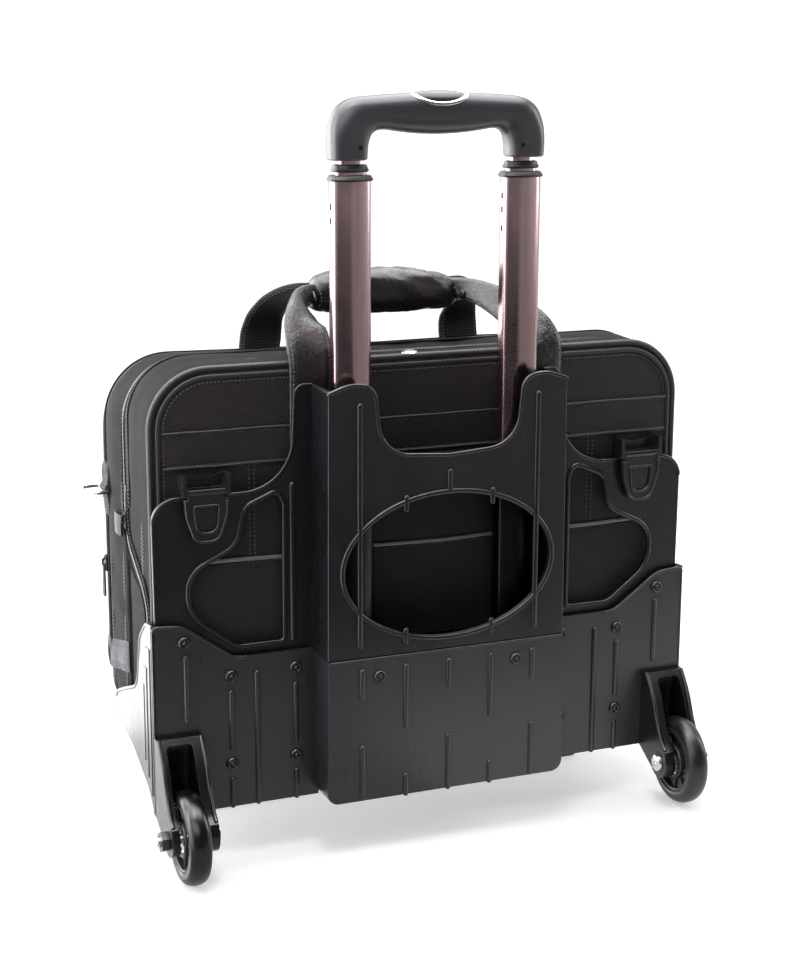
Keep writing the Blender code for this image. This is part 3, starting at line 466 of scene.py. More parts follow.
def tube(points, r, closed=False, ref=(0, 1, 0), seg=10, flat=1.0, ends=True):
    """Round or flattened cord along a line; ref is the direction its height points in."""
    pts = [Vector(p) for p in points]
    g, n, up = G(), len(pts), Vector(ref)
    for i, p in enumerate(pts):
        a = pts[i - 1] if (closed or i) else pts[i]
        b = pts[(i + 1) % n] if (closed or i < n - 1) else pts[i]
        t = (b - a).normalized()
        h = (up - t * up.dot(t)).normalized()
        s = t.cross(h)
        rad = r(i / max(1, n - 1)) if callable(r) else r
        for k in range(seg):
            q = 2 * math.pi * k / seg
            g.v.append(tuple(p + s * (rad * math.cos(q)) + h * (rad * flat * math.sin(q))))
    for i in range(n if closed else n - 1):
        j = (i + 1) % n
        for k in range(seg):
            m = (k + 1) % seg
            g.f.append((i * seg + k, i * seg + m, j * seg + m, j * seg + k))
    if not closed and ends:
        g.f.append(tuple(reversed(range(seg))))
        g.f.append(tuple(range((n - 1) * seg, n * seg)))
    return g


def rib(a, b, r, proud, ref=(0, -1, 0), seg=12):
    """A moulded rib with rounded ends between points a and b."""
    a, b = Vector(a), Vector(b)
    n = 9
    pts, rad = [], []
    d = (b - a).normalized()
    for k in range(n):
        t = math.pi / 2 * (1 - k / (n - 1))
        pts.append(a + d * (r - r * math.sin(t)))
        rad.append(max(0.02, math.cos(t)))
    for k in range(n):
        t = math.pi / 2 * k / (n - 1)
        pts.append(b - d * (r - r * math.sin(t)))
        rad.append(max(0.02, math.cos(t)))
    g, h = G(), Vector(ref).normalized()
    s = d.cross(h)
    for p, k in zip(pts, rad):
        for i in range(seg):
            q = 2 * math.pi * i / seg
            g.v.append(tuple(p + s * (r * k * math.cos(q)) + h * (proud * k * math.sin(q))))
    for i in range(len(pts) - 1):
        for k in range(seg):
            m = (k + 1) % seg
            g.f.append((i * seg + k, i * seg + m, (i + 1) * seg + m, (i + 1) * seg + k))
    g.f.append(tuple(reversed(range(seg))))
    g.f.append(tuple(range((len(pts) - 1) * seg, len(pts) * seg)))
    return g


def stitches(points, up, pitch=0.0034, length=0.0023, r=0.00035, closed=False, sink=0.0):
    """Row of thread stitches; up is a fixed direction or a function of the point."""
    pts = walk(points, pitch, closed)
    g, n = G(), len(pts)
    for i, p in enumerate(pts):
        a = pts[i - 1] if (closed or i) else pts[i]
        b = pts[(i + 1) % n] if (closed or i < n - 1) else pts[i]
        if (b - a).length < 1e-9:
            continue
        t = (b - a).normalized()
        u = Vector(up(p) if callable(up) else up)
        u = (u - t * u.dot(t))
        if u.length < 1e-6:
            continue
        u.normalize()
        s = t.cross(u)
        q = p + u * (r * 0.5 - sink)
        k = len(g.v)
        g.v += [tuple(q - t * length / 2 - u * r), tuple(q + t * length / 2 - u * r)]
        for m in (-0.5, 0.5):
            c = q + t * (length * 0.5 * m)
            g.v += [tuple(c + s * r), tuple(c + u * r), tuple(c - s * r), tuple(c - u * r)]
        for e in range(4):
            f = (e + 1) % 4
            g.f += [(k, k + 2 + f, k + 2 + e), (k + 2 + e, k + 2 + f, k + 6 + f, k + 6 + e), (k + 1, k + 6 + e, k + 6 + f)]
    return g


def teeth(points, up, side, pitch=0.0016, size=(0.0010, 0.0011, 0.0010), closed=False, shift=0.0):
    """Row of zip teeth; side is the direction towards the tape, as a function of the point."""
    pts = walk(points, pitch, closed)
    g, n = G(), len(pts)
    for i, p in enumerate(pts):
        a = pts[i - 1] if (closed or i) else pts[i]
        b = pts[(i + 1) % n] if (closed or i < n - 1) else pts[i]
        if (b - a).length < 1e-9:
            continue
        t = (b - a).normalized()
        u = Vector(up(p) if callable(up) else up)
        u = (u - t * u.dot(t)).normalized()
        s = t.cross(u)
        if s.dot(Vector(side(p) if callable(side) else side)) < 0:
            s = -s
        q = p + s * shift
        k = len(g.v)
        lt, ls, lu = size
        for dt in (-0.5, 0.5):
            for ds, du in ((-0.5, -0.5), (0.5, -0.5), (0.5, 0.35), (-0.5, 0.5)):
                g.v.append(tuple(q + t * (dt * lt) + s * (ds * ls) + u * (du * lu)))
        g.f += [(k, k + 1, k + 2, k + 3), (k + 7, k + 6, k + 5, k + 4)]
        for e in range(4):
            f = (e + 1) % 4
            g.f.append((k + e, k + 4 + e, k + 4 + f, k + f))
    return g


def band(rows, thick=0.0, closed=False):
    """A strip through rows of points (each row goes across); the thick argument is not used."""
    g, w, n = G(), len(rows[0]), len(rows)
    for row in rows:
        g.v += [tuple(p) for p in row]
    for i in range(n if closed else n - 1):
        j = (i + 1) % n
        for k in range(w - 1):
            g.f.append((i * w + k, i * w + k + 1, j * w + k + 1, j * w + k))
    return g


def loft(rings, caps=True, closed=False):
    g, w, n = G(), len(rings[0]), len(rings)
    for row in rings:
        g.v += [tuple(p) for p in row]
    for i in range(n if closed else n - 1):
        j = (i + 1) % n
        for k in range(w):
            m = (k + 1) % w
            g.f.append((i * w + k, i * w + m, j * w + m, j * w + k))
    if caps and not closed:
        g.f.append(tuple(reversed(range(w))))
        g.f.append(tuple(range((n - 1) * w, n * w)))
    return g


def temp(g, name="work_piece"):
    o = bpy.data.objects.new(name, g.mesh() if isinstance(g, G) else g)
    bpy.context.scene.collection.objects.link(o)
    bm = bmesh.new()
    bm.from_mesh(o.data)
    bmesh.ops.recalc_face_normals(bm, faces=bm.faces)
    bm.to_mesh(o.data)
    bm.free()
    return o


def baked(o):
    bpy.context.view_layer.update()
    graph = bpy.context.evaluated_depsgraph_get()
    return bpy.data.meshes.new_from_object(o.evaluated_get(graph))


def shape(g, join=(), cut=()):
    base, others = temp(g), []
    for operation, group in (("UNION", join), ("DIFFERENCE", cut)):
        for other in group:
            tool = temp(other)
            others.append(tool)
            mod = base.modifiers.new("work", "BOOLEAN")
            mod.operation, mod.solver, mod.object = operation, "EXACT", tool
    mesh = baked(base)
    bm = bmesh.new()
    bm.from_mesh(mesh)
    bmesh.ops.remove_doubles(bm, verts=bm.verts, dist=0.00002)
    bmesh.ops.dissolve_degenerate(bm, edges=bm.edges, dist=0.00001)
    out = G()
    bm.verts.index_update()
    out.v = [tuple(v.co) for v in bm.verts]
    out.f = [tuple(v.index for v in f.verts) for f in bm.faces]
    bm.free()
    for o in [base] + others:
        bpy.data.objects.remove(o, do_unlink=True)
    bpy.data.meshes.remove(mesh)
    return out


# ---------------------------------------------------------------- putting pieces in the scene
def box_uv(mesh):
    """Flat cloth coordinates in metres, from the side that each face looks towards."""
    layer = mesh.uv_layers.get("UVMap") or mesh.uv_layers.new(name="UVMap")
    for p in mesh.polygons:
        n = p.normal
        ax, ay, az = abs(n.x), abs(n.y), abs(n.z)
        for li in p.loop_indices:
            c = mesh.vertices[mesh.loops[li].vertex_index].co
            if ay >= ax and ay >= az:
                layer.data[li].uv = (c.x, c.z)
            elif ax >= az:
                layer.data[li].uv = (c.y, c.z)
            else:
                layer.data[li].uv = (c.x, c.y)


def emit(name, g, mat, body, repl=(), bevel=0.0, bseg=3, angle=35.0, warp=None, extra=(), uv=False, fix=True,
         subd=0):
    mesh = g.mesh(name) if isinstance(g, G) else g
    mesh.name = name
    if warp:
        for v in mesh.vertices:
            v.co = warp(v.co)
    if fix:
        bm = bmesh.new()
        bm.from_mesh(mesh)
        bmesh.ops.recalc_face_normals(bm, faces=bm.faces)
        bm.to_mesh(mesh)
        bm.free()
    if uv:
        box_uv(mesh)
    mesh.transform(Matrix.Translation((0, Y0, 0)))
    for m in (mat, *extra):
        mesh.materials.append(m)
    mesh.shade_smooth()
    o = bpy.data.objects.new(name, mesh)
    bpy.context.scene.collection.objects.link(o)
    if bevel:
        b = o.modifiers.new("edges", "BEVEL")
        b.width, b.segments, b.limit_method, b.angle_limit = bevel, bseg, "ANGLE", math.radians(angle)
        b.use_clamp_overlap = True
        w = o.modifiers.new("normals", "WEIGHTED_NORMAL")
        w.keep_sharp = True
    elif subd:
        s = o.modifiers.new("finer", "SUBSURF")
        s.levels = s.render_levels = subd
    else:
        mesh.set_sharp_from_angle(angle=math.radians(angle))
    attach(o, body)
    if repl:
        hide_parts(*repl)
    return o


# ================================================================ hard pieces
def xz(outline, y):
    return [(a, y, b) for a, b in outline]


wing = rounded([
    (CHANNEL_HALF - 0.0015, WING_FOOT, 0), (WING_HALF - 0.0010, WING_FOOT, 0.004),
    (WING_HALF, WING_TOP, 0.0180), (0.1118, WING_TOP, 0.0420),
    (SHOULDER_X - 0.0015, SHOULDER_Z, 0.0130), (CHANNEL_HALF - 0.0015, SHOULDER_Z, 0),
], 18)
window = rounded([
    (0.1195, 0.1660, 0.0040), (0.1560, 0.1660, 0.0140), (0.1915, 0.1930, 0.0300),
    (0.1915, 0.2240, 0.0220), (0.1545, 0.2420, 0.0180), (0.1495, 0.2690, 0.0120),
    (0.1240, 0.2795, 0.0080), (0.1190, 0.2690, 0.0060),
], 14)
channel_half = rounded([
    (0.0, CHANNEL_FOOT, 0), (CHANNEL_HALF + 0.0012, CHANNEL_FOOT, 0),
    (CHANNEL_HALF, EAR_TOP - 0.0048, 0.0020), (0.0790, EAR_TOP + 0.0012, 0.0300), (EAR_IN, EAR_TOP - 0.0016, 0.0150),
    (0.0553, 0.3110, 0.0270), (0.0, SCOOP_Z, 0),
], 18)
channel = channel_half + [(-a, b) for a, b in reversed(channel_half) if a > 1e-5]
inner_half = CHANNEL_HALF - CHANNEL_WALL
hollow = [(-inner_half - 0.0010, CHANNEL_FOOT - 0.01), (inner_half + 0.0010, CHANNEL_FOOT - 0.01),
          (inner_half, EAR_TOP + 0.01), (-inner_half, EAR_TOP + 0.01)]

trough = shape(prism(channel, "Y", CHANNEL_FACE, WING_T),
               cut=[prism(hollow, "Y", CHANNEL_FACE + CHANNEL_WALL, WING_T + 0.01),
                    prism(ellipse(OVAL_A, OVAL_B, 0, OVAL_Z), "Y", CHANNEL_FACE - 0.01, CHANNEL_FACE + 0.01)])
panel = emit("panel_channel", trough, SHELL, "trolley", ["back_panel"], bevel=0.00125, bseg=4)
wing_plate = shape(prism(wing, "Y", 0.0, WING_T), cut=[prism(window, "Y", -0.01, 0.01)])
for sign, side in SIDES:
    g = wing_plate if sign > 0 else wing_plate.mirror()
    emit("panel_wing_" + side, g, SHELL, "trolley", [], bevel=0.0010)

# raised rims, edge beads and ribs of the upper moulding
trim = G()
oval_rim = ellipse(OVAL_A + 0.0019, OVAL_B + 0.0019, 0, OVAL_Z, 120)
trim.add(tube(xz(oval_rim, CHANNEL_FACE + 0.0002), 0.0021, True, (0, 1, 0), 14, 0.95))
trim.add(tube(xz(ellipse(OVAL_A + 0.0012, OVAL_B + 0.0012, 0, OVAL_Z, 120), CHANNEL_FACE + 0.0024), 0.0016, True, (0, 1, 0), 10))
scoop = [p for p in channel_half if p[1] > SCOOP_Z + 0.0002 or p[0] < 0.056]
start = channel_half.index(min(channel_half, key=lambda p: abs(p[0] - CHANNEL_HALF) + abs(p[1] - EAR_TOP + 0.006)))
lip = channel_half[start:]
full_lip = lip + [(-a, b) for a, b in reversed(lip) if a > 1e-5]
trim.add(tube(xz([(a * 0.9965, b - 0.0011) for a, b in full_lip], CHANNEL_FACE + 0.0008), 0.0016, False, (0, 1, 0), 10))
for sign in (-1, 1):
    edge = [(sign * p[0], p[1]) for p in wing]
    def grown(line, c, k):
        return [(c[0] + (a - c[0]) * k, c[1] + (b - c[1]) * k) for a, b in line]
    w = [(sign * a, b) for a, b in grown(window, (0.1535, 0.2150), 1.036)]
    trim.add(tube(xz(w, 0.0001), 0.0020, True, (0, 1, 0), 12, 0.85))
    run = [p for p in wing if p[0] > 0.108 and p[1] > 0.155]
    run = [(sign * (a - 0.0011 * (1 if a > 0.2 else 0)), b - (0.0010 if b > 0.27 else 0)) for a, b in run]
    trim.add(tube(walk(xz(run, 0.0004), 0.003), 0.00155, False, (0, 1, 0), 10, 0.9))
    x = sign * RIB_X
    trim.add(rib((x, CHANNEL_FACE, 0.1630), (x, CHANNEL_FACE, 0.3500), 0.0023, 0.0019))
    trim.add(rib((sign * 0.1116, 0.0, 0.1630), (sign * 0.1116, 0.0, 0.2870), 0.0025, 0.0020))
    trim.add(rib((sign * 0.0352, CHANNEL_FACE, 0.2650), (sign * 0.0352, CHANNEL_FACE, 0.2785), 0.0021, 0.0018))
    trim.add(rib((sign * 0.0352, CHANNEL_FACE, 0.1625), (sign * 0.0352, CHANNEL_FACE, 0.1760), 0.0021, 0.0018))
trim.add(rib((0, CHANNEL_FACE, 0.2760), (0, CHANNEL_FACE, 0.2955), 0.0021, 0.0018))
trim.add(rib((0, CHANNEL_FACE, 0.1625), (0, CHANNEL_FACE, 0.1668), 0.0021, 0.0016))
emit("panel_beads_and_ribs", trim, SHELL, "trolley", [], angle=60)

# base moulding
skirt = rounded([
    (0.0940, SKIRT_FOOT, 0), (SKIRT_HALF, SKIRT_FOOT, 0.002), (SKIRT_HALF, SKIRT_TOP, 0.0030),
    (0.1990, 0.1868, 0.0250), (0.1600, 0.1585, 0.0200), (0.1500, BAND_Z, 0), (0.0980, BAND_Z, 0),
    (0.0980, CHANNEL_FOOT - 0.0006, 0), (0.0940, CHANNEL_FOOT - 0.0006, 0),
], 16)
side_wall = rounded([
    (SKIRT_FACE, SKIRT_FOOT, 0), (SKIRT_FACE, SKIRT_TOP, 0), (0.0120, 0.1872, 0.0100),
    (0.0300, 0.1720, 0.0200), (0.0400, 0.1300, 0.0250), (0.0860, 0.1128, 0.0200),
    (TRAY_FRONT, 0.1035, 0.0120), (TRAY_FRONT, 0.0835, 0.0060), (0.0600, 0.0748, 0.0300),
    (0.0150, 0.0555, 0.0200), (-0.0010, SKIRT_FOOT, 0.0040),
], 14)
box_front = rounded([
    (-0.0985, 0.0425, 0.0090), (0.0985, 0.0425, 0.0090), (0.0972, CHANNEL_FOOT - 0.0003, 0.0004),
    (-0.0972, CHANNEL_FOOT - 0.0003, 0.0004)], 10)
skirt_cut = [box(SLOT_IN, SLOT_OUT, SKIRT_FACE - 0.005, 0.0050, 0.0300, 0.0988)]
skirt_plate = shape(prism(skirt, "Y", SKIRT_FACE, SKIRT_FACE + SKIRT_T),
                    join=[box(0.1925, SKIRT_HALF - 0.0004, SKIRT_FACE + 0.0004, 0.0040, SKIRT_FOOT, 0.1040)], cut=skirt_cut)
centre_box = shape(prism(box_front, "Y", BOX_FACE, 0.0060),
                   cut=[box(-0.0940, 0.0940, BOX_FACE + 0.0026, 0.0075, 0.0456, 0.1600)])
emit("base_centre_box", centre_box, SHELL2, "trolley", ["base_shell"], bevel=0.0014, bseg=4)
tray = box(-SKIRT_HALF + 0.001, SKIRT_HALF - 0.001, 0.0060, TRAY_FRONT - 0.0006, TRAY_LOW, TRAY_TOP)
emit("base_tray", tray, SHELL2, "trolley", [], bevel=0.0010)
for sign, side in SIDES:
    flip = (lambda g: g) if sign > 0 else (lambda g: g.mirror())
    emit("base_skirt_" + side, flip(skirt_plate), SHELL2, "trolley", [], bevel=0.0011)
    wall = prism(side_wall, "X", SKIRT_HALF - SIDE_T, SKIRT_HALF)
    emit("base_side_wall_" + side, flip(wall), SHELL2, "trolley", [], bevel=0.0012, bseg=4)
    # stepped panels pressed into the side wall, and a bead round its edge
    steps = G()
    cy, cz = 0.030, 0.105
    for k, out in ((0.80, 0.0007), (0.60, 0.0013), (0.42, 0.0018)):
        ring = [(cy + (a - cy) * k, cz + (b - cz) * k * 0.97) for a, b in side_wall]
        steps.add(prism(ring, "X", SKIRT_HALF - 0.001, SKIRT_HALF + out))
    emit("base_side_steps_" + side, flip(steps), SHELL2, "trolley", [], bevel=0.0005, bseg=3)
    g = G()
    line = [(SKIRT_HALF - 0.0010, a + (0.0010 if a < 0 else 0), b - 0.0008) for a, b in side_wall if b > 0.100]
    g.add(tube(walk(line, 0.003), 0.0017, False, (1, 0, 0), 10))
    top = [(a - (0.0008 if a > 0.2 else 0), b - 0.0009) for a, b in skirt if b > 0.1575 and a > 0.0985]
    g.add(tube(walk(xz(top, SKIRT_FACE + 0.0006), 0.0025), 0.0014, False, (0, 1, 0), 10))
    for x, low, high in ((0.1970, 0.1100, 0.1640), (0.1626, 0.0850, 0.1330), (0.1626, SKIRT_FOOT, 0.0640),
                         (0.1424, SKIRT_FOOT, 0.1460), (0.1118, 0.0840, 0.1330), (0.1118, SKIRT_FOOT, 0.0640)):
        g.add(rib((x, SKIRT_FACE, low - (0.0012 if low < 0.05 else 0)), (x, SKIRT_FACE, high), 0.0022, 0.0019))
    for x, low, high in ((0.0706, 0.1225, 0.1480), (0.0706, 0.0425, 0.0875), (0.0352, 0.0960, 0.1480), (0.0352, 0.0412, 0.0604)):
        g.add(rib((x, BOX_FACE, low), (x, BOX_FACE, high), 0.0022, 0.0019))
    if sign > 0:
        g.add(rib((0, BOX_FACE, 0.1240), (0, BOX_FACE, 0.1480), 0.0022, 0.0019))
        g.add(rib((0, BOX_FACE, 0.0412), (0, BOX_FACE, 0.0873), 0.0022, 0.0019))
        g.add(tube([(-0.0960, BOX_FACE + 0.0007, CHANNEL_FOOT - 0.0012), (0.0960, BOX_FACE + 0.0007, CHANNEL_FOOT - 0.0012)],
                   0.0013, False, (0, 1, 0), 10))
    emit("base_beads_and_ribs_" + side, flip(g), SHELL2, "trolley", [], angle=60)

# push rivets: a domed ring, a groove and a raised centre pin
spots = [(0.1980, 0.1737, SKIRT_FACE, "corner"), (0.1626, 0.1435, SKIRT_FACE, "upper_outer"),
         (0.1118, 0.1444, SKIRT_FACE, "upper_inner"), (0.1626, 0.0745, SKIRT_FACE, "lower_outer"),
         (0.1118, 0.0742, SKIRT_FACE, "lower_inner"), (0.0566, 0.1405, BOX_FACE, "centre")]
for x, z, face, label in spots:
    prof = [(0.0004, 0), (0.0004, 0.0050), (-0.0004, 0.0051), (-0.0013, 0.0048), (-0.0021, 0.0041), (-0.0024, 0.0033),
            (-0.0021, 0.0027), (-0.0013, 0.0024), (-0.0013, 0.0020), (-0.0022, 0.0017), (-0.0027, 0.0010), (-0.0028, 0)]
    head = turned(prof, (x, face, z), "Y", 40)
    for sign, side in SIDES:
        emit("push_rivet_%s_%s" % (label, side), head if sign > 0 else head.mirror(), RIVET, "trolley",
             ["rivet_%s_%s" % (label, side)], angle=50)

# wheel forks
END_R = 0.0125
front_y = SKIRT_FACE - 0.0003
arm = [(front_y, SKIRT_FOOT + 0.0005), (front_y, FORK_TOP), (front_y - 0.0055, FORK_TOP - 0.0006)]
arm += curve([(front_y - 0.0055, FORK_TOP - 0.0006), (front_y - 0.0125, FORK_TOP - 0.0095), (-0.0245, 0.0830),
              (-0.0310, 0.0680), (-0.0400, 0.0530), (AXLE_Y + END_R * math.cos(math.radians(150)) * 1.0,
                                                      AXLE_Z + END_R * math.sin(math.radians(150)) + 0.004)], 5)[1:-1]
for k in range(25):
    t = math.radians(150.0 + 170.0 * k / 24)
    arm.append((AXLE_Y + END_R * math.cos(t), AXLE_Z + END_R * math.sin(t)))
axle = (WHEEL_X, AXLE_Y, AXLE_Z)
fork = shape(prism(arm, "X", FORK_IN, FORK_OUT),
             cut=[prism(rounded([(SLOT_IN, -0.01, 0), (SLOT_OUT, -0.01, 0), (SLOT_OUT - 0.0006, 0.0986, 0.0030), (SLOT_IN + 0.0006, 0.0986, 0.0030)], 6), "Y", -0.08, 0.01),
                  turned([(-0.03, 0), (-0.03, 0.0041), (0.03, 0.0041), (0.03, 0)], axle, "X", 40)])
boss = G()
for x0, out in ((FORK_IN, -1), (FORK_OUT, 1)):
    boss.add(turned([(x0 - WHEEL_X - out * 0.001, 0.0043), (x0 - WHEEL_X + out * 0.00025, 0.0043), (x0 - WHEEL_X + out * 0.00025, 0.0088),
                     (x0 - WHEEL_X - out * 0.0003, 0.0096), (x0 - WHEEL_X - out * 0.001, 0.0096)], axle, "X", 48))
web = G()
for x in (FORK_IN + 0.0016, FORK_OUT - 0.0016):
    line = [(x, a, b) for a, b in arm[2:len(arm) - 26]]
    web.add(tube(walk(line, 0.002), 0.0017, False, (1, 0, 0), 10))
# the pocket's back wall behind the wheel, running down from the bridge
wall = []
for k in range(13):
    t = k / 12.0
    z = 0.0995 - (0.0995 - SKIRT_FOOT - 0.0012) * t
    y = 0.0002 - 0.0055 * math.cos(math.pi / 2 * min(1.0, t * 2.2)) ** 2
    wall.append((y, z))
sheet_rows = []
for k in range(9):
    x = SLOT_IN - 0.0012 + (SLOT_OUT - SLOT_IN + 0.0024) * k / 8.0
    cup = 0.0012 * (2 * k / 8.0 - 1) ** 4
    sheet_rows.append([(x, y - cup, z) for y, z in wall] + [(x, 0.0046, z) for y, z in reversed(wall)])
pocket = loft(sheet_rows)
half = WHEEL_W / 2.0
crown = [(-half + 0.0010, TYRE_IN), (-half, TYRE_IN + 0.0010), (-half, WHEEL_R - 0.0062)]
for k in range(1, 20):
    t = math.pi * k / 20
    crown.append((-half * math.cos(t) * (1 - 0.02 * math.sin(t)), WHEEL_R - 0.0062 + 0.0062 * math.sin(t) ** 0.8))
crown += [(half, WHEEL_R - 0.0062), (half, TYRE_IN + 0.0010), (half - 0.0010, TYRE_IN)]
rim_r0 = TYRE_IN - 0.0001
hub_profile = [(-0.0074, 0.0113), (-0.0074, 0.0136), (-0.0066, 0.0143), (-0.0026, 0.0148), (-0.0022, 0.0158), (-0.0022, 0.0214), (-0.0028, 0.0222),
               (-0.0070, 0.0230), (-0.0076, 0.0238), (-0.0072, rim_r0), (0.0072, rim_r0), (0.0076, 0.0238), (0.0070, 0.0230),
               (0.0028, 0.0222), (0.0022, 0.0214), (0.0022, 0.0158), (0.0026, 0.0148), (0.0066, 0.0143), (0.0074, 0.0136), (0.0074, 0.0113)]
holes = []
for k in range(5):
    t = 2 * math.pi * (k + 0.25) / 5
    at = (axle[0], axle[1] + 0.0182 * math.cos(t), axle[2] + 0.0182 * math.sin(t))
    holes.append(turned([(-0.02, 0), (-0.02, 0.0036), (0.02, 0.0036), (0.02, 0)], at, "X", 24))
hub = shape(turned(hub_profile, axle, "X", 72), cut=holes)
spokes = G()
for k in range(5):
    t = 2 * math.pi * (k + 0.75) / 5
    for s in (-1, 1):
        a = Vector((axle[0] + s * 0.0022, axle[1] + 0.0140 * math.cos(t), axle[2] + 0.0140 * math.sin(t)))
        b = Vector((axle[0] + s * 0.0022, axle[1] + 0.0226 * math.cos(t), axle[2] + 0.0226 * math.sin(t)))
        spokes.add(tube([a, b], 0.0016, False, (1, 0, 0), 8, 1.6))
bearing = turned([(-0.0064, 0.0041), (-0.0064, 0.0060), (-0.0058, 0.0066), (-0.0058, 0.0090), (-0.0064, 0.0096), (-0.0064, 0.0111),
                  (0.0064, 0.0111), (0.0064, 0.0096), (0.0058, 0.0090), (0.0058, 0.0066), (0.0064, 0.0060), (0.0064, 0.0041)], axle, "X", 48)
head_x, nut_x = FORK_IN - 0.0003 - WHEEL_X, FORK_OUT + 0.0003 - WHEEL_X
bolt = [(head_x - 0.0030, 0)]
bolt += [(head_x - 0.0030 + 0.0010 * (k / 8.0) ** 2, 0.0014 + 0.0052 * k / 8.0) for k in range(9)]
bolt += [(head_x - 0.0004, 0.0070), (head_x, 0.0070), (head_x, 0.0037), (nut_x + 0.0085, 0.0037), (nut_x + 0.0092, 0.0030), (nut_x + 0.0092, 0)]
bolt_g = shape(turned(bolt, axle, "X", 40), cut=[
    prism([(AXLE_Y + 0.0024 * math.cos(math.pi * i / 3), AXLE_Z + 0.0024 * math.sin(math.pi * i / 3)) for i in range(6)],
          "X", WHEEL_X + head_x - 0.006, WHEEL_X + head_x - 0.0012)])
nut = shape(prism([(AXLE_Y + 0.0080 * math.cos(math.pi * (i + 0.5) / 3), AXLE_Z + 0.0080 * math.sin(math.pi * (i + 0.5) / 3))
                   for i in range(6)], "X", WHEEL_X + nut_x, WHEEL_X + nut_x + 0.0062),
            cut=[turned([(-0.03, 0), (-0.03, 0.0040), (0.03, 0.0040), (0.03, 0)], axle, "X", 32)])
leg_x, leg_y = 0.1640, 0.0930
leg = loft([[(leg_x + a * k, leg_y + b * m, z) for a, b in round_rect(0.0280, 0.0220, 0.0045, seg=5)]
            for z, k, m in ((TRAY_LOW + 0.0004, 1.16, 1.16), (0.0800, 1.02, 1.02), (0.0740, 0.97, 0.975), (0.0063, 0.72, 0.78))])
pad = loft([[(leg_x + a * k, leg_y + b * k, z) for a, b in round_rect(0.0240, 0.0210, 0.0050, seg=6)]
            for z, k in ((0.0, 0.95), (0.0008, 1.0), (0.0052, 1.0), (0.0060, 0.96))])
for sign, side in SIDES:
    f = (lambda g: g) if sign > 0 else (lambda g: g.mirror())
    emit("fork_" + side, f(fork), FORK, "trolley", ["wheel_fork_" + side], bevel=0.0013, bseg=4)
    emit("fork_boss_" + side, f(boss), FORK, "trolley", [], angle=40)
    emit("fork_edge_" + side, f(web), FORK, "trolley", [], angle=60)
    emit("fork_back_wall_" + side, f(pocket), FORK, "trolley", [], angle=40)
    emit("tyre_" + side, f(turned(crown, axle, "X", 96)), TYRE, "wheel_" + side, ["wheel_tyre_" + side], angle=60)
    emit("hub_" + side, f(hub), HUB, "wheel_" + side, ["wheel_hub_" + side], angle=30)
    emit("hub_spokes_" + side, f(spokes), HUB, "wheel_" + side, [], angle=60)
    emit("bearing_" + side, f(bearing), STEEL, "wheel_" + side, ["wheel_bearing_" + side], angle=40)
    emit("axle_screw_" + side, f(bolt_g), STEEL, "trolley", ["axle_bolt_" + side], angle=30)
    emit("axle_hex_nut_" + side, f(nut), RIVET, "trolley", ["axle_nut_" + side], bevel=0.0006)
    emit("leg_" + side, f(leg), SHELL2, "trolley", ["stand_leg_" + side], bevel=0.0008)
    emit("pad_" + side, f(pad), RUBBER, "trolley", ["foot_pad_" + side], angle=40)

# tubes, with lock holes on the side that faces -X
def tube_piece(size, span, x, holes=()):
    width, depth, crown_h, wall = size
    g = sleeve(barrel(width, depth, crown_h, x, TUBE_Y), barrel(width - 2 * wall, depth - 2 * wall, crown_h, x, TUBE_Y), "Z", *span)
    if not holes:
        return g
    cuts = [prism(rounded([(TUBE_Y - 0.0016, z - h / 2, 0.0006), (TUBE_Y + 0.0016, z - h / 2, 0.0006),
                           (TUBE_Y + 0.0016, z + h / 2, 0.0006), (TUBE_Y - 0.0016, z + h / 2, 0.0006)], 3),
                  "X", x - width / 2 - 0.002, x - width / 2 + 0.0025) for z, h in holes]
    return shape(g, cut=cuts)


for sign, side in SIDES:
    x = sign * TUBE_X
    spots = ((0.4932, 0.0046), (0.4830, 0.0046), (0.4690, 0.0046)) if sign > 0 else ((0.4885, 0.0050), (0.4785, 0.0050))
    emit("outer_tube_" + side, tube_piece(STAGE1, STAGE1_Z, x, spots), ROSE, "stage1", ["stage1_tube_" + side], angle=28)
    emit("middle_tube_" + side, tube_piece(STAGE2, STAGE2_Z, x), ROSE, "stage2", ["stage2_tube_" + side], angle=28)
    emit("inner_tube_" + side, tube_piece(STAGE3, STAGE3_Z, x), ROSE, "pull_handle", ["stage3_tube_" + side], angle=28)
    emit("fixed_guide_" + side, tube_piece(FIXED, (0.0480, 0.3020), x), DARK, "trolley", ["fixed_tube_" + side], angle=28)
    for stem, size, bore, low, high, body, node in (
            ("outer_ring_", (0.0304, 0.0204, 0.0048), (0.0240, 0.0144, 0.0036), STAGE1_Z[1] - 0.0002, STAGE1_Z[1] + 0.0042, "stage1", "stage1_collar_"),
            ("middle_ring_", (0.0250, 0.0154, 0.0038), (0.0170, 0.0096, 0.0024), STAGE2_Z[1] - 0.0002, STAGE2_Z[1] + 0.0052, "stage2", "stage2_collar_")):
        levels = [(low, 0.0), (low + 0.0005, 0.0007), (low + 0.0016, 0.0009), (low + 0.0026, 0.0003), (high - 0.0004, -0.0003), (high, -0.0010)]
        rings = [barrel(size[0] + 2 * d, size[1] + 2 * d, size[2], x, TUBE_Y) for _, d in levels]
        inner = barrel(*bore, x, TUBE_Y)
        g = loft([[(a, b, z) for a, b in r] for (z, _), r in zip(levels, rings)] +
                 [[(a, b, high) for a, b in inner], [(a, b, low) for a, b in inner]], closed=True)
        emit(stem + side, g, COLLAR, body, [node + side], angle=40)
# the brace keeps its CAD mesh
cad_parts["tube_brace"].data.materials.clear()
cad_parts["tube_brace"].data.materials.append(SHELL)
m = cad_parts["tube_brace"].modifiers.new("edges", "BEVEL")
m.width, m.segments, m.limit_method = 0.0006, 2, "ANGLE"

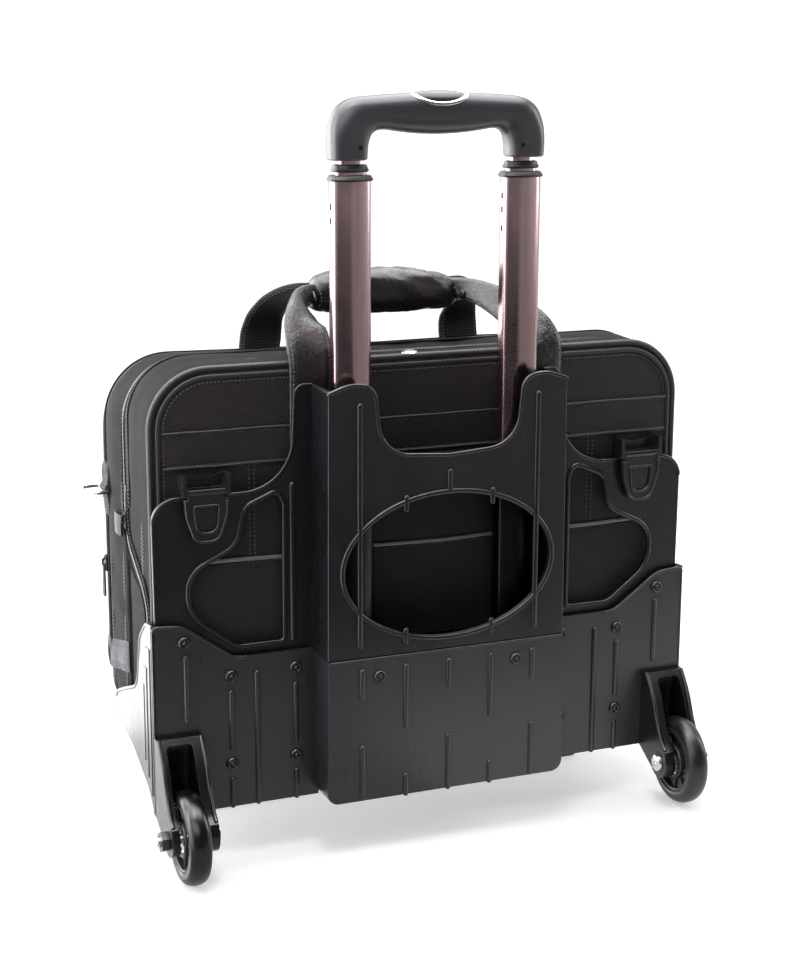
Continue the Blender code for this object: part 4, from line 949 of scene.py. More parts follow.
# ---------------------------------------------------------------- grip
def super_ring(centre, across, half, depth, power=2.7, steps=40):
    """Rounded section: across is the in-plane direction, depth is the half size along Y."""
    out = []
    for k in range(steps):
        t = 2 * math.pi * k / steps
        c, s = math.cos(t), math.sin(t)
        a = math.copysign(abs(c) ** (2 / power), c) * half
        b = math.copysign(abs(s) ** (2 / power), s) * depth
        out.append(tuple(Vector(centre) + Vector(across) * a + Vector((0, 1, 0)) * b))
    return out


outer_half = [(0.0842, 0.5228), (0.0845, 0.5290), (0.0846, 0.5380), (0.0838, 0.5475), (0.0800, 0.5570), (0.0735, 0.5630),
              (0.0640, 0.5662), (0.0500, 0.5674), (0.0360, 0.5682), (0.0200, 0.5690), (0.0, 0.5693)]
inner_line = [(0.0563, 0.5228), (0.0560, 0.5275), (0.0555, 0.5320), (0.0535, 0.5375), (0.0505, 0.5408), (0.0465, 0.5425),
              (0.0405, 0.5425), (0.0330, 0.5414), (0.0240, 0.5403), (0.0130, 0.5394), (0.0, 0.5390)]
pairs = [((-o[0], o[1]), (-i[0], i[1])) for o, i in zip(outer_half, inner_line)][:-1] + list(zip(outer_half, inner_line))[::-1]
line = curve([(o[0], o[1], i[0], i[1]) for o, i in pairs], 6)
rings = []
for ox, oz, ix, iz in line:
    o, i = Vector((ox, 0, oz)), Vector((ix, 0, iz))
    c = (o + i) / 2 + Vector((0, TUBE_Y, 0))
    rise = smooth01((c.z - 0.530) / 0.02)
    rings.append(super_ring(c, (o - i).normalized(), (o - i).length / 2, 0.0118 + 0.0006 * rise, 3.4 - 1.1 * rise))
capped = [[tuple(Vector(p).lerp(Vector((sum(q[0] for q in r) / len(r), TUBE_Y, r[0][2])), 0.0)) for p in r] for r in rings]
def end_cap(r, sink):
    c = Vector((sum(q[0] for q in r) / len(r), sum(q[1] for q in r) / len(r), sum(q[2] for q in r) / len(r)))
    return [tuple(Vector(p) + (c - Vector(p)) * k + Vector((0, 0, -dz))) for k, dz in ((0, 0),) for p in r], c
first = [tuple(Vector(p) * 1.0 + (Vector((-0.0703, TUBE_Y, 0.5228)) - Vector(p)) * 0.10 - Vector((0, 0, 0.0010))) for p in rings[0]]
last = [tuple(Vector(p) + (Vector((0.0703, TUBE_Y, 0.5228)) - Vector(p)) * 0.10 - Vector((0, 0, 0.0010))) for p in rings[-1]]
grip = loft([first] + rings + [last])
emit("grip_body", grip, GRIP, "pull_handle", ["handle_grip"], angle=60)


def on_grip(x, s, lift=0.0):
    """Point on the grip's skin: s is the distance along the section from the top towards the face at -Y."""
    best = min(range(len(line)), key=lambda k: abs((line[k][0] + line[k][2]) / 2 - x))
    ox, oz, ix, iz = line[best]
    half, depth, power = (oz - iz) / 2, 0.0124, 2.3
    pts = []
    for k in range(61):
        t = -math.pi / 2 * 1.2 + math.pi * 1.4 * k / 60
        c, q = math.cos(t), math.sin(t)
        pts.append(Vector((x, TUBE_Y - math.copysign(abs(q) ** (2 / power), q) * depth,
                           (oz + iz) / 2 + math.copysign(abs(c) ** (2 / power), c) * half)))
    zero = min(range(61), key=lambda k: abs(pts[k].y - TUBE_Y) if pts[k].z > (oz + iz) / 2 else 9)
    run, k = 0.0, zero
    step = 1 if s >= 0 else -1
    while 0 < k < 60:
        d = (pts[k + step] - pts[k]).length
        if run + d >= abs(s):
            p = pts[k].lerp(pts[k + step], (abs(s) - run) / d)
            break
        run, k = run + d, k + step
    else:
        p = pts[k]
    n = Vector((0, (p.y - TUBE_Y) / depth ** 2 * 1.0, (p.z - (oz + iz) / 2) / half ** 2)).normalized()
    return p + n * lift, n


ring_pts = []
for k in range(96):
    t = 2 * math.pi * k / 96
    p, n = on_grip(0.0212 * math.cos(t), 0.0035 + 0.0112 * math.sin(t), 0.0001)
    ring_pts.append((p, n))
g = G()
sections = []
for k, (p, n) in enumerate(ring_pts):
    t = (ring_pts[(k + 1) % 96][0] - ring_pts[k - 1][0]).normalized()
    s = t.cross(n).normalized()
    sections.append([tuple(p + s * (0.00165 * math.cos(q)) + n * (0.00085 * math.sin(q))) for q in
                     [2 * math.pi * i / 12 for i in range(12)]])
emit("grip_trim_ring", loft(sections, caps=False, closed=True), NICKEL, "pull_handle", ["grip_ring"], angle=60)
rows = [[tuple(on_grip(0.0, 0.0035, 0.0012)[0])] * 48]
for k in range(1, 9):
    r = k / 8.0
    lift = 0.0010 * (1 - r ** 4) + 0.0002
    rows.append([tuple(on_grip(0.0202 * r * math.cos(2 * math.pi * i / 48), 0.0035 + 0.0102 * r * math.sin(2 * math.pi * i / 48), lift)[0])
                 for i in range(48)])
g = G()
for r in rows:
    g.v += r
for k in range(len(rows) - 1):
    for i in range(48):
        j = (i + 1) % 48
        g.f.append((k * 48 + i, k * 48 + j, (k + 1) * 48 + j, (k + 1) * 48 + i))
emit("push_button", g, BUTTON, "release_button", ["grip_button"], angle=60)
# small screws on the grip's legs
g = G()
for sign in (-1, 1):
    x = sign * 0.0640
    g.add(turned([(0.0004, 0), (0.0004, 0.0016), (-0.0003, 0.0014), (-0.0003, 0.0006), (0.0001, 0.0004), (0.0001, 0)],
                 (x, TUBE_Y - 0.0119, 0.5310), "Y", 24))
emit("grip_screws", g, DARK, "pull_handle", [], angle=40)


# ================================================================ soft goods
def droop(p):
    """The unsupported front of the bag hangs a little, most at its far top corner."""
    x, y, z = p
    g, h = smooth01((y - 0.076) / 0.06), smooth01((z - 0.20) / 0.16)
    dz = -0.0030 * g * h * (1 - min(1.0, (x / 0.2) ** 2)) - 0.0085 * g * h * smooth01((x - 0.09) / 0.13)
    return Vector((x, y, z + dz))


rear_line = rounded([(-BAG_HALF, BAG_FOOT, 0.014), (BAG_HALF, BAG_FOOT, 0.014),
                     (BAG_HALF, BAG_TOP, 0.044), (-BAG_HALF, BAG_TOP, 0.044)], 16)
front_line = rounded([(-0.2175, BAG_FOOT, 0.016), (0.2175, BAG_FOOT, 0.016),
                      (0.2175, 0.3665, 0.050), (-0.2175, 0.3665, 0.050)], 16)
panel_line = rounded([(-0.2150, 0.0915, 0.020), (0.2150, 0.0915, 0.020),
                      (0.2150, 0.3520, 0.052), (-0.2150, 0.3520, 0.052)], 16)
pouch_line = rounded([(-0.2142, 0.0945, 0.022), (0.2142, 0.0945, 0.022),
                      (0.2142, 0.2920, 0.028), (-0.2142, 0.2920, 0.028)], 12)


def inset(line, d):
    """The outline moved inwards by d, point by point."""
    n, out = len(line), []
    for i in range(n):
        a, b = Vector(line[i - 1]), Vector(line[(i + 1) % n])
        t = (b - a)
        if t.length < 1e-9:
            out.append(line[i])
            continue
        t.normalize()
        out.append((line[i][0] - t.y * d, line[i][1] + t.x * d))
    return out


def even(line, step):
    pts = [(p.x, p.z) for p in walk(xz(line, 0), step, True)]
    return pts if len(pts) % 2 == 0 else pts[:-1]


def strip_cap(first, n, turn=False):
    """Closes a ring of n points with a strip of four-sided faces across it."""
    out = []
    for k in range(n // 2 - 1):
        face = (first + k, first + k + 1, first + n - 2 - k, first + n - 1 - k)
        out.append(tuple(reversed(face)) if turn else face)
    return out


s_curve = curve([(0.0755, 0.2760), (0.0785, 0.2580), (0.0729, 0.2354), (0.0553, 0.2212), (0.0348, 0.2081),
                 (0.0240, 0.1944), (0.0215, 0.1800)], 8)


def near_s(y, z):
    return min(math.hypot(y - a, z - b) for a, b in s_curve)


def cloth_run(o, frames, pressure, limit, slack=0.03, bend=0.6, stiff=18.0, smooth=14, calm=None):
    """Puffs a pinned cloth shell with air pressure, then holds each point within its limit."""
    rest = [v.co.copy() for v in o.data.vertices]
    mod = o.modifiers.new("cloth", "CLOTH")
    s = mod.settings
    s.quality, s.mass, s.air_damping = 6, 0.25, 2.0
    s.use_pressure, s.uniform_pressure_force = True, pressure
    s.tension_stiffness = s.compression_stiffness = s.shear_stiffness = stiff
    s.bending_stiffness = bend
    s.effector_weights.gravity = 0.0
    s.shrink_min = -slack
    s.vertex_group_mass = "pin"
    mod.collision_settings.use_collision = False
    mod.point_cache.frame_start, mod.point_cache.frame_end = 1, frames
    for f in range(1, frames + 1):
        bpy.context.scene.frame_set(f)
    mesh = baked(o)
    bpy.context.scene.frame_set(1)
    moves = [v.co - a for a, v in zip(rest, mesh.vertices)]
    linked = [[] for _ in rest]
    for e in mesh.edges:
        linked[e.vertices[0]].append(e.vertices[1])
        linked[e.vertices[1]].append(e.vertices[0])
    if calm:
        inner = [i for i, a in enumerate(rest) if a.y > calm[4] and ((a.x - calm[0]) / calm[2]) ** 2 + ((a.z - calm[1]) / calm[3]) ** 2 < 1.0]
        level = sum(moves[i].y for i in inner) / max(1, len(inner))
        for i in inner:
            moves[i] = Vector((0.0, level, 0.0))
    held = [limit(a) < 0.001 for a in rest]
    for _ in range(smooth):
        moves = [m if h or not near_by else m * 0.4 + sum((moves[k] for k in near_by), Vector()) * (0.6 / len(near_by))
                 for m, h, near_by in zip(moves, held, linked)]
    out = []
    for a, d in zip(rest, moves):
        top = limit(a)
        if d.length > top:
            d *= top / d.length
        out.append(a + d)
    o.modifiers.clear()
    bpy.data.meshes.remove(mesh)
    return out


def tray_shell(line, y0, y1, step, rows, cap_loops, flip=False, cap_at="low"):
    """Open box of cloth: a cap over the outline at y0 and side walls up to y1."""
    pts = even(line, step)
    n, g = len(pts), G()
    cx, cz = sum(p[0] for p in pts) / n, sum(p[1] for p in pts) / n
    levels = []
    for k in range(cap_loops, 0, -1):
        d = k / (cap_loops + 1.0)
        levels.append([(a + (cx - a) * d * 0.96, y0, b + (cz - b) * d * 0.96) for a, b in pts])
    for k in range(rows + 1):
        y = y0 + (y1 - y0) * k / rows
        levels.append([(a, y, b) for a, b in pts])
    for lv in levels:
        g.v += lv
    for i in range(len(levels) - 1):
        for k in range(n):
            m = (k + 1) % n
            g.f.append((i * n + k, i * n + m, (i + 1) * n + m, (i + 1) * n + k))
    g.f += strip_cap(0, n, True)
    return g


TRACED = []


def soft_piece(name, g, pin, limit, body, mats, kind, repl, pressure=4.0, frames=16, slack=0.03, solid=0.0,
               warp=None, subd=1, bend=0.6, post=None, calm=None, trace=()):
    o = temp(g, name + "_sim")
    group = o.vertex_groups.new(name="pin")
    for v in o.data.vertices:
        w = pin(v.co)
        if w > 0:
            group.add([v.index], w, "REPLACE")
    moved = cloth_run(o, frames, pressure, limit, slack, bend, calm=calm)
    for v, p in zip(o.data.vertices, moved):
        v.co = p
    if post:
        for v in o.data.vertices:
            v.co = post(v.co)
    o.data.update()
    bpy.context.view_layer.update()
    for path in trace:
        TRACED.append([])
        for x, z in path:
            hit, where, _, _ = o.ray_cast((x, 0.40, z), (0.0, -1.0, 0.0))
            if hit:
                TRACED[-1].append(Vector(where))
    mesh = o.data.copy()
    bpy.data.objects.remove(o, do_unlink=True)
    out = emit(name, mesh, mats[0], body, repl, warp=warp, extra=mats[1:], uv=True, fix=False, angle=180)
    for p in out.data.polygons:
        p.material_index = kind(p)
    if solid:
        m = out.modifiers.new("lining", "SOLIDIFY")
        m.thickness, m.offset = solid, -1.0
        m.material_offset = m.material_offset_rim = len(mats) // 2
        m.use_even_offset = False
    if subd:
        m = out.modifiers.new("finer", "SUBSURF")
        m.levels = m.render_levels = subd
    return out


def near(y, *rows, w=0.0016):
    return any(abs(y - r) < w for r in rows)


# rear section: back panel, gusset with two seams, lining
REAR_SEAMS = (0.0345, 0.0620)


def rear_pin(p):
    if p.y < 0.0130 or p.y > 0.0640 or near(p.y, 0.0345, w=0.0024):
        return 1.0
    if abs(p.x) > 0.21 and near_s(p.y, p.z) < 0.0065:
        return 1.0
    return 1.0 if p.z < 0.092 else 0.0


def rear_limit(p):
    if p.z < 0.100:
        return 0.0006
    if abs(p.x) > 0.2 and p.z < 0.200:
        return 0.0006 + 0.0052 * smooth01((p.z - 0.185) / 0.03)
    return 0.0050


soft_piece("rear_section_cloth", tray_shell(rear_line, BAG_BACK, SEAM1 - 0.0002, 0.0048, 15, 5), rear_pin, rear_limit, "bag",
           (GUSSET, TWILL, LINING, LINING), lambda p: 1 if abs(p.normal.y) > 0.7 else 0, ["bag_rear_section"],
           pressure=5.0, frames=16, slack=0.05, solid=0.0035)


# front section: wall behind it, gusset, lining
def front_pin(p):
    return 1.0 if (p.y < 0.0865 or p.y > 0.1290 or p.z < 0.090) else 0.0


def front_limit(p):
    if p.z < 0.100:
        return 0.0006
    if abs(p.x) > 0.2 and p.z < 0.190:
        return 0.0006 + 0.0046 * smooth01((p.z - 0.160) / 0.03)
    return 0.0052


soft_piece("front_section_cloth", tray_shell(front_line, SEAM1 + 0.0012, SEAM2 - 0.0002, 0.0048, 14, 4), front_pin, front_limit,
           "front_section", (GUSSET, LINING, LINING, LINING), lambda p: 1 if abs(p.normal.y) > 0.7 and p.center.y + 0.05 < 0.09 else 0,
           ["bag_front_section"], pressure=5.0, frames=16, slack=0.045, solid=0.0035, warp=droop)


# front panel and the pouch on it: closed padded bodies
def padded_body(line, y0, y1, step, rows, loops, round_off):
    pts = even(line, step)
    n, g = len(pts), G()
    cx, cz = sum(p[0] for p in pts) / n, sum(p[1] for p in pts) / n
    levels = [[(a, y0, b) for a, b in pts]]
    for k in range(1, rows + 1):
        levels.append([(a, y0 + (y1 - y0 - round_off) * k / rows, b) for a, b in pts])
    for k in range(1, 5):
        t = math.pi / 2 * k / 4
        ring = inset(pts, round_off * (1 - math.cos(t)))
        levels.append([(a, y1 - round_off + round_off * math.sin(t), b) for a, b in ring])
    base = inset(pts, round_off)
    for k in range(1, loops + 1):
        d = k / (loops + 1.0)
        levels.append([(a + (cx - a) * d * 0.97, y1, b + (cz - b) * d * 0.97) for a, b in base])
    for lv in levels:
        g.v += lv
    for i in range(len(levels) - 1):
        for k in range(n):
            m = (k + 1) % n
            g.f.append((i * n + k, i * n + m, (i + 1) * n + m, (i + 1) * n + k))
    g.f += strip_cap((len(levels) - 1) * n, n)
    g.f += strip_cap(0, n, True)
    return g


soft_piece("front_panel_cloth", padded_body(panel_line, SEAM2 + 0.0006, PANEL_FRONT, 0.0060, 3, 16, 0.0050),
           lambda p: 1.0 if p.y < 0.1440 or (p.z < 0.285 and p.y > 0.1500 and abs(p.x) < 0.205) else 0.0, lambda p: 0.0055, "front_pocket",
           (GUSSET, TWILL), lambda p: 1 if p.normal.y > 0.5 else 0, ["bag_front_pocket"], pressure=5.0, frames=14,
           slack=0.03, warp=droop, calm=(0.0, 0.215, 0.150, 0.090, 0.1500), trace=[inset(panel_line, d) for d in (0.0085, 0.0115)])
soft_piece("front_pouch_cloth", padded_body(pouch_line, PANEL_FRONT - 0.0010, POUCH_FRONT, 0.0060, 4, 16, 0.0070),
           lambda p: 1.0 if p.y < 0.1560 else 0.0, lambda p: 0.0065 if p.y > 0.165 else 0.0035, "front_pocket",
           (GUSSET, TWILL), lambda p: 1 if p.normal.y > 0.5 else 0, [], pressure=5.0, frames=14, slack=0.035, warp=droop,
           calm=(0.0, 0.5 * (min(p[1] for p in pouch_line) + max(p[1] for p in pouch_line)), 0.140, 0.055, 0.1650),
           trace=[inset(pouch_line, d) for d in (0.0095, 0.0125)]
           + [[(-0.188 + 0.376 * i / 94.0, max(p[1] for p in pouch_line) - d) for i in range(95)] for d in (0.0125, 0.0165, 0.0215, 0.0265, 0.0310)])

# welts, stitches and a leather band over the front face
for k, stem in ((0, "front_panel"), (2, "front_pouch")):
    welt = [p + Vector((0, 0.0003, 0)) for p in TRACED[k]]
    emit(stem + "_border_welt", tube(walk(welt, 0.004, True), 0.0013, True, (0, 1, 0), 10, 0.8), BINDING, "front_pocket", [], angle=60,
         warp=droop, uv=True)
    row = [p + Vector((0, 0.0004, 0)) for p in TRACED[k + 1]]
    emit(stem + "_border_stitches", stitches(walk(row, 0.004, True), (0, 1, 0), 0.0031, 0.0022, 0.00036, True), THREAD_LIGHT, "front_pocket", [],
         angle=60, warp=droop)
rows = TRACED[4:9]
if min(len(r) for r in rows) == 95:
    strip = [[rows[0][i] + Vector((0, -0.0006, 0.0006))] + [rows[k][i] + Vector((0, 0.0012, 0)) for k in range(5)]
             + [rows[4][i] + Vector((0, -0.0006, -0.0006))] for i in range(95)]
    emit("pouch_top_trim", band(strip), TRIM_BAND, "front_pocket", [], angle=70, warp=droop, uv=True)
    g = G()
    for r, dz in ((rows[0], -0.0016), (rows[4], 0.0016)):
        g.add(stitches([p + Vector((0, 0.0014, dz)) for p in r], (0, 1, 0), 0.0031, 0.0022, 0.00036))
    emit("pouch_trim_stitches", g, THREAD_LIGHT, "front_pocket", [], angle=60, warp=droop)


# ---------------------------------------------------------------- seams, piping and stitching
def outward(p):
    """Direction out of the bag's side or top at a point on its outline."""
    x, z = p.x, p.z
    cx = max(-0.170, min(0.170, x))
    cz = max(0.105, min(0.325, z))
    d = Vector((x - cx, 0, z - cz))
    return d.normalized() if d.length > 1e-6 else Vector((0, 0, 1))


def over(line, zmin, y, lift=0.0, step=0.004):
    """Open line from the left side over the top to the right side of an outline, lifted off it."""
    pts = [p for p in inset(line, -lift)]
    left = [p for p in pts if p[1] >= zmin - 1e-9]
    start_i = min(range(len(left)), key=lambda k: (left[k][1] + (0 if left[k][0] < 0 else 9)))
    ordered = left[start_i:] + left[:start_i]
    if len(ordered) > 1 and ordered[1][0] > 0 > ordered[0][0] and abs(ordered[1][1] - ordered[0][1]) < 0.01:
        ordered = [ordered[0]] + ordered[1:][::-1]
    if ordered[0][0] > 0:
        ordered = ordered[::-1]
    ends = [(ordered[0][0], zmin)] + ordered + [(ordered[-1][0], zmin)]
    return walk(xz(ends, y), step)


def soft_seam(name, line, y, body, r=0.0012, zmin=0.090, warp=None, stitch=((0.0035, 0),), mat=None, flat=0.8, lift=0.0001):
    """A welt round the gusset, with rows of stitches beside it."""
    path = over(line, zmin, y, lift)
    g = G()
    pts = [Vector(p) for p in path]
    n = len(pts)
    rings = []
    for i, p in enumerate(pts):
        t = (pts[min(i + 1, n - 1)] - pts[max(i - 1, 0)]).normalized()
        u = outward(p)
        u = (u - t * u.dot(t)).normalized()
        s = t.cross(u)
        rings.append([tuple(p + s * (r * math.cos(2 * math.pi * k / 10)) + u * (r * flat * math.sin(2 * math.pi * k / 10))) for k in range(10)])
    g.add(loft(rings))
    emit(name, g, mat or BINDING, body, [], angle=60, warp=warp, uv=True)
    th = G()
    for dy, _ in stitch:
        th.add(stitches([Vector((p.x, p.y + dy, p.z)) + outward(p) * 0.0003 for p in pts], outward, 0.0032, 0.0022, 0.00032))
    emit(name + "_stitches", th, THREAD_LIGHT, body, [], angle=60, warp=warp)


soft_seam("rear_gusset_welt", rear_line, 0.0345, "bag", r=0.0011, stitch=((0.0026, 0), (-0.0026, 0)), zmin=0.190)
soft_seam("front_gusset_welt_back", front_line, 0.0875, "front_section", r=0.0010, warp=droop, stitch=((0.0026, 0),))
soft_seam("front_gusset_welt_front", front_line, 0.1288, "front_section", r=0.0011, warp=droop, stitch=((-0.0028, 0),))

# piping and padded border of the back panel
g = G()
edge = inset(rear_line, 0.0006)
g.add(tube(walk(xz(edge, BAG_BACK + 0.0030), 0.004, True), 0.0024, True, (0, 1, 0), 12))
emit("back_piping", g, BINDING, "bag", [], angle=60, uv=True)
g = G()
border = inset(rear_line, 0.0062)
g.add(tube(walk(xz(border, BAG_BACK + 0.0004), 0.004, True), 0.0018, True, (0, 1, 0), 16, 0.6))
emit("back_border", g, BINDING, "bag", [], angle=60, uv=True)
g = stitches(walk(xz(inset(rear_line, 0.0100), BAG_BACK - 0.0002), 0.004, True), (0, -1, 0), 0.0031, 0.0022, 0.00035, True)
band_low, band_high = 0.3020, 0.3280
for z in (band_low + 0.0016, band_high - 0.0016):
    g.add(stitches([(-0.2035, BAG_BACK - 0.0012, z), (0.2035, BAG_BACK - 0.0012, z)], (0, -1, 0), 0.0031, 0.0022, 0.00034))
for x in (0.1385, 0.1425):
    for s in (-1, 1):
        g.add(stitches([(s * x, BAG_BACK - 0.0010, 0.2330), (s * x, BAG_BACK - 0.0010, 0.3000)], (0, -1, 0), 0.0033, 0.0022, 0.00045))
for z in (0.2262, 0.0990):
    g.add(stitches([(-0.196, BAG_BACK - 0.0011, z), (0.196, BAG_BACK - 0.0011, z)], (0, -1, 0), 0.0031, 0.0022, 0.00034))
emit("back_stitches", g, THREAD, "bag", [], angle=60)


def soft_plate(x0, x1, z0, z1, y_back, y_front, r=0.004, puff=0.0, nx=60, nz=16):
    """A thin cloth panel with rolled edges, slightly puffed in its middle."""
    g = G()
    for j in range(nz + 1):
        for i in range(nx + 1):
            x, z = x0 + (x1 - x0) * i / nx, z0 + (z1 - z0) * j / nz
            d = min(x - x0, x1 - x, z - z0, z1 - z)
            roll = math.sqrt(max(0.0, 1 - (1 - min(1.0, d / r)) ** 2))
            wav = noise.noise(Vector((x * 22, 3.1, z * 30))) * 0.0004
            g.v.append((x, y_back + (y_front - puff * math.sin(math.pi * i / nx) * math.sin(math.pi * j / nz) - y_back) * roll + wav * roll, z))
    for j in range(nz):
        for i in range(nx):
            k = j * (nx + 1) + i
            g.f.append((k, k + 1, k + nx + 2, k + nx + 1))
    return g


emit("back_band", soft_plate(-0.2065, 0.2065, band_low, band_high, BAG_BACK + 0.0004, BAG_BACK - 0.0012, 0.0018, 0.0003, 90, 14), TWILL, "bag",
     [], angle=70, uv=True)
g = G()
for z in (band_low, band_high):
    half_w = 0.2075
    g.add(tube([(-half_w + 2 * half_w * i / 50, BAG_BACK - 0.0009, z + 0.00015 * math.sin(i * 0.9)) for i in range(51)], 0.0012, False, (0, 1, 0), 10, 0.9))
emit("back_band_welts", g, BINDING, "bag", [], angle=60, uv=True)
emit("back_slip_pocket", soft_plate(-0.1985, 0.1985, 0.0965, 0.2290, BAG_BACK + 0.0004, BAG_BACK - 0.0008, 0.003, 0.0002, 90, 40), TWILL,
     "bag", [], angle=70, uv=True)
emit("back_upper_facing", soft_plate(-0.1985, 0.1985, 0.2300, 0.3000, BAG_BACK + 0.0004, BAG_BACK - 0.0006, 0.003, 0.0003, 90, 20), FACING,
     "bag", [], angle=70, uv=True)
BIND_LIGHT = woven("binding_light", (0.105, 0.098, 0.106), 0.00100, 0.0, depth=0.00012, rough=0.45, contrast=0.35)
g = G()
g.add(tube([(-0.1990 + 0.398 * i / 60, BAG_BACK - 0.0012 + 0.0002 * math.sin(i * 0.7), 0.2292 + 0.0006 * math.sin(i * 0.35)) for i in range(61)],
           0.0016, False, (0, 1, 0), 10, 0.7))
emit("back_pocket_binding", g, BIND_LIGHT, "bag", [], angle=60, uv=True)


# ---------------------------------------------------------------- zips
def zip_side(name, rows, body, warp=None):
    """Tape of one half of a zip; rows go across it."""
    emit(name, band(rows), TAPE, body, [], angle=80, warp=warp, uv=True)


def lines_between(a, b, ts, lifts):
    out = []
    for p, q in zip(a, b):
        row = []
        for t, l in zip(ts, lifts):
            m = Vector(p).lerp(Vector(q), t)
            row.append(m + outward(m) * l)
        out.append(row)
    return out


def same(path, n):
    length = sum((b - a).length for a, b in zip(path, path[1:]))
    out = walk(path, length / (n - 1))
    while len(out) < n:
        out.append(out[-1])
    return out[:n]


def loop_zip(stem, line_a, line_b, ya, yt, yb, zmin, body_a, body_b, warp_a=None, warp_b=None):
    N = 260
    pa = same(over(line_a, zmin, ya, 0.0004), N)
    pt = same(over(line_a, zmin, yt, 0.0008), N)
    pb = same(over(line_b, zmin, yb, 0.0004), N)
    pm = [Vector(a).lerp(Vector(b), 0.35) for a, b in zip(pt, pb)]
    zip_side(stem + "_tape_a", lines_between(pa, pm, (0, 0.3, 0.6, 0.92), (0.0, 0.0003, 0.0003, 0.0)), body_a, warp_a)
    zip_side(stem + "_tape_b", lines_between(pb, pm, (0, 0.3, 0.6, 0.92), (0.0, 0.0003, 0.0003, 0.0)), body_b, warp_b)
    for half_name, sgn, body, warp in (("a", -1, body_a, warp_a), ("b", 1, body_b, warp_b)):
        coil = teeth([p + outward(p) * 0.0006 for p in pm], outward, (0, sgn, 0), 0.0017, (0.0011, 0.0016, 0.0013), shift=0.0007)
        emit("%s_coil_%s" % (stem, half_name), coil, COIL, body, [], angle=50, warp=warp)
        rows = G()
        src = pa if sgn < 0 else pb
        rows.add(stitches([Vector(p).lerp(Vector(q), 0.22) + outward(p) * 0.0008 for p, q in zip(src, pm)], outward, 0.0031, 0.0021, 0.0003))
        emit("%s_stitches_%s" % (stem, half_name), rows, THREAD_LIGHT, body, [], angle=60, warp=warp)
        roll = [Vector(p).lerp(Vector(q), 0.02) + outward(p) * 0.0004 for p, q in zip(src, pm)]
        rings = []
        for i, p in enumerate(roll):
            t = (roll[min(i + 1, N - 1)] - roll[max(i - 1, 0)]).normalized()
            u = outward(p)
            u = (u - t * u.dot(t)).normalized()
            s = t.cross(u)
            rings.append([tuple(p + s * (0.0012 * math.cos(2 * math.pi * k / 8)) + u * (0.0009 * math.sin(2 * math.pi * k / 8))) for k in range(8)])
        emit("%s_fold_%s" % (stem, half_name), loft(rings), GUSSET, body, [], angle=60, warp=warp, uv=True)


loop_zip("main_zip", rear_line, front_line, 0.0655, 0.0745, 0.0835, 0.262, "bag", "front_section", None, droop)
loop_zip("pocket_zip", front_line, panel_line, 0.1325, 0.1388, 0.1462, 0.130, "front_section", "front_pocket", droop, droop)

# the main zip's tail, which sweeps back over the rear gusset on both sides
for sign, side in SIDES:
    x = sign * (BAG_HALF + 0.0006)
    path = [Vector((x, y, z)) for y, z in s_curve]
    pts = walk(path, 0.0022)
    rows_a, rows_b, dark, folds = [], [], [], ([], [])
    n = len(pts)
    for i, p in enumerate(pts):
        t = (pts[min(i + 1, n - 1)] - pts[max(i - 1, 0)]).normalized()
        s = Vector((1, 0, 0)).cross(t).normalized()
        if s.y > 0:
            s = -s
        rows_a.append([p + s * w for w in (0.0066, 0.0045, 0.0022, 0.0003)])
        rows_b.append([p - s * w for w in (0.0066, 0.0045, 0.0022, 0.0003)])
        f = i / (n - 1)
        wide = 0.0068 * math.sin(math.pi * smooth01((f - 0.12) / 0.80)) if 0.12 < f < 0.92 else 0.0
        dark.append([p - s * (0.0018 + wide * k / 3.0) + Vector((sign * 0.0005, 0, 0)) for k in range(4)])
        folds[0].append(p + s * 0.0068 + Vector((sign * 0.0002, 0, 0)))
        folds[1].append(p - s * (0.0066 + max(0.0, wide - 0.003)) + Vector((sign * 0.0004, 0, 0)))
    g = band(rows_a)
    g.add(band(rows_b))
    emit("main_zip_tail_tape_" + side, g, TAPE, "bag", [], angle=80, uv=True)
    emit("main_zip_tail_shadow_" + side, band(dark), DARKNESS, "bag", [], angle=80)
    g = G()
    for s in (-1, 1):
        g.add(teeth([p + Vector((sign * 0.0007, 0, 0)) for p in pts], (sign, 0, 0), lambda q, k=s: (0, k * 1.0, k * 0.35), 0.0017, (0.0011, 0.0016, 0.0013), shift=0.0007))
    emit("main_zip_tail_coil_" + side, g, COIL, "bag", [], angle=50)
    g = G()
    for fold in folds:
        g.add(tube(fold, 0.0013, False, (sign, 0, 0), 8, 0.8))
    emit("main_zip_tail_folds_" + side, g, GUSSET, "bag", [], angle=60, uv=True)
    g = stitches([p + (p - q).normalized() * 0.0 + Vector((sign * 0.0008, 0, 0)) for p, q in zip(folds[0], folds[1])], (sign, 0, 0), 0.0031, 0.0021, 0.0003)
    emit("main_zip_tail_stitches_" + side, g, THREAD_LIGHT, "bag", [], angle=60)


# ---------------------------------------------------------------- leather trim low on the sides
def side_strip(lower, upper, x_of, nx=24, nz=7, lift=0.0009):
    """Leather strip between two (y, z) lines on a side of the bag."""
    rows = []
    for i in range(nx + 1):
        f = i / nx
        y0, z0 = lower[0][0] + (lower[1][0] - lower[0][0]) * f, lower[0][1] + (lower[1][1] - lower[0][1]) * f
        y1, z1 = upper[0][0] + (upper[1][0] - upper[0][0]) * f, upper[0][1] + (upper[1][1] - upper[0][1]) * f
        row = []
        for j in range(nz + 1):
            t = j / nz
            y, z = y0 + (y1 - y0) * t, z0 + (z1 - z0) * t
            edge_d = min(j, nz - j, 1.5 * i, 1.5 * (nx - i)) / 1.5
            row.append(Vector((x_of(y) + lift * min(1.0, edge_d) + 0.0003 * noise.noise(Vector((y * 60, z * 60, 1))), y, z)))
        rows.append(row)
    return rows


def skin_x(y):
    return 0.2182 if y < 0.1395 else 0.2182 - 0.0030 * smooth01((y - 0.139) / 0.01)


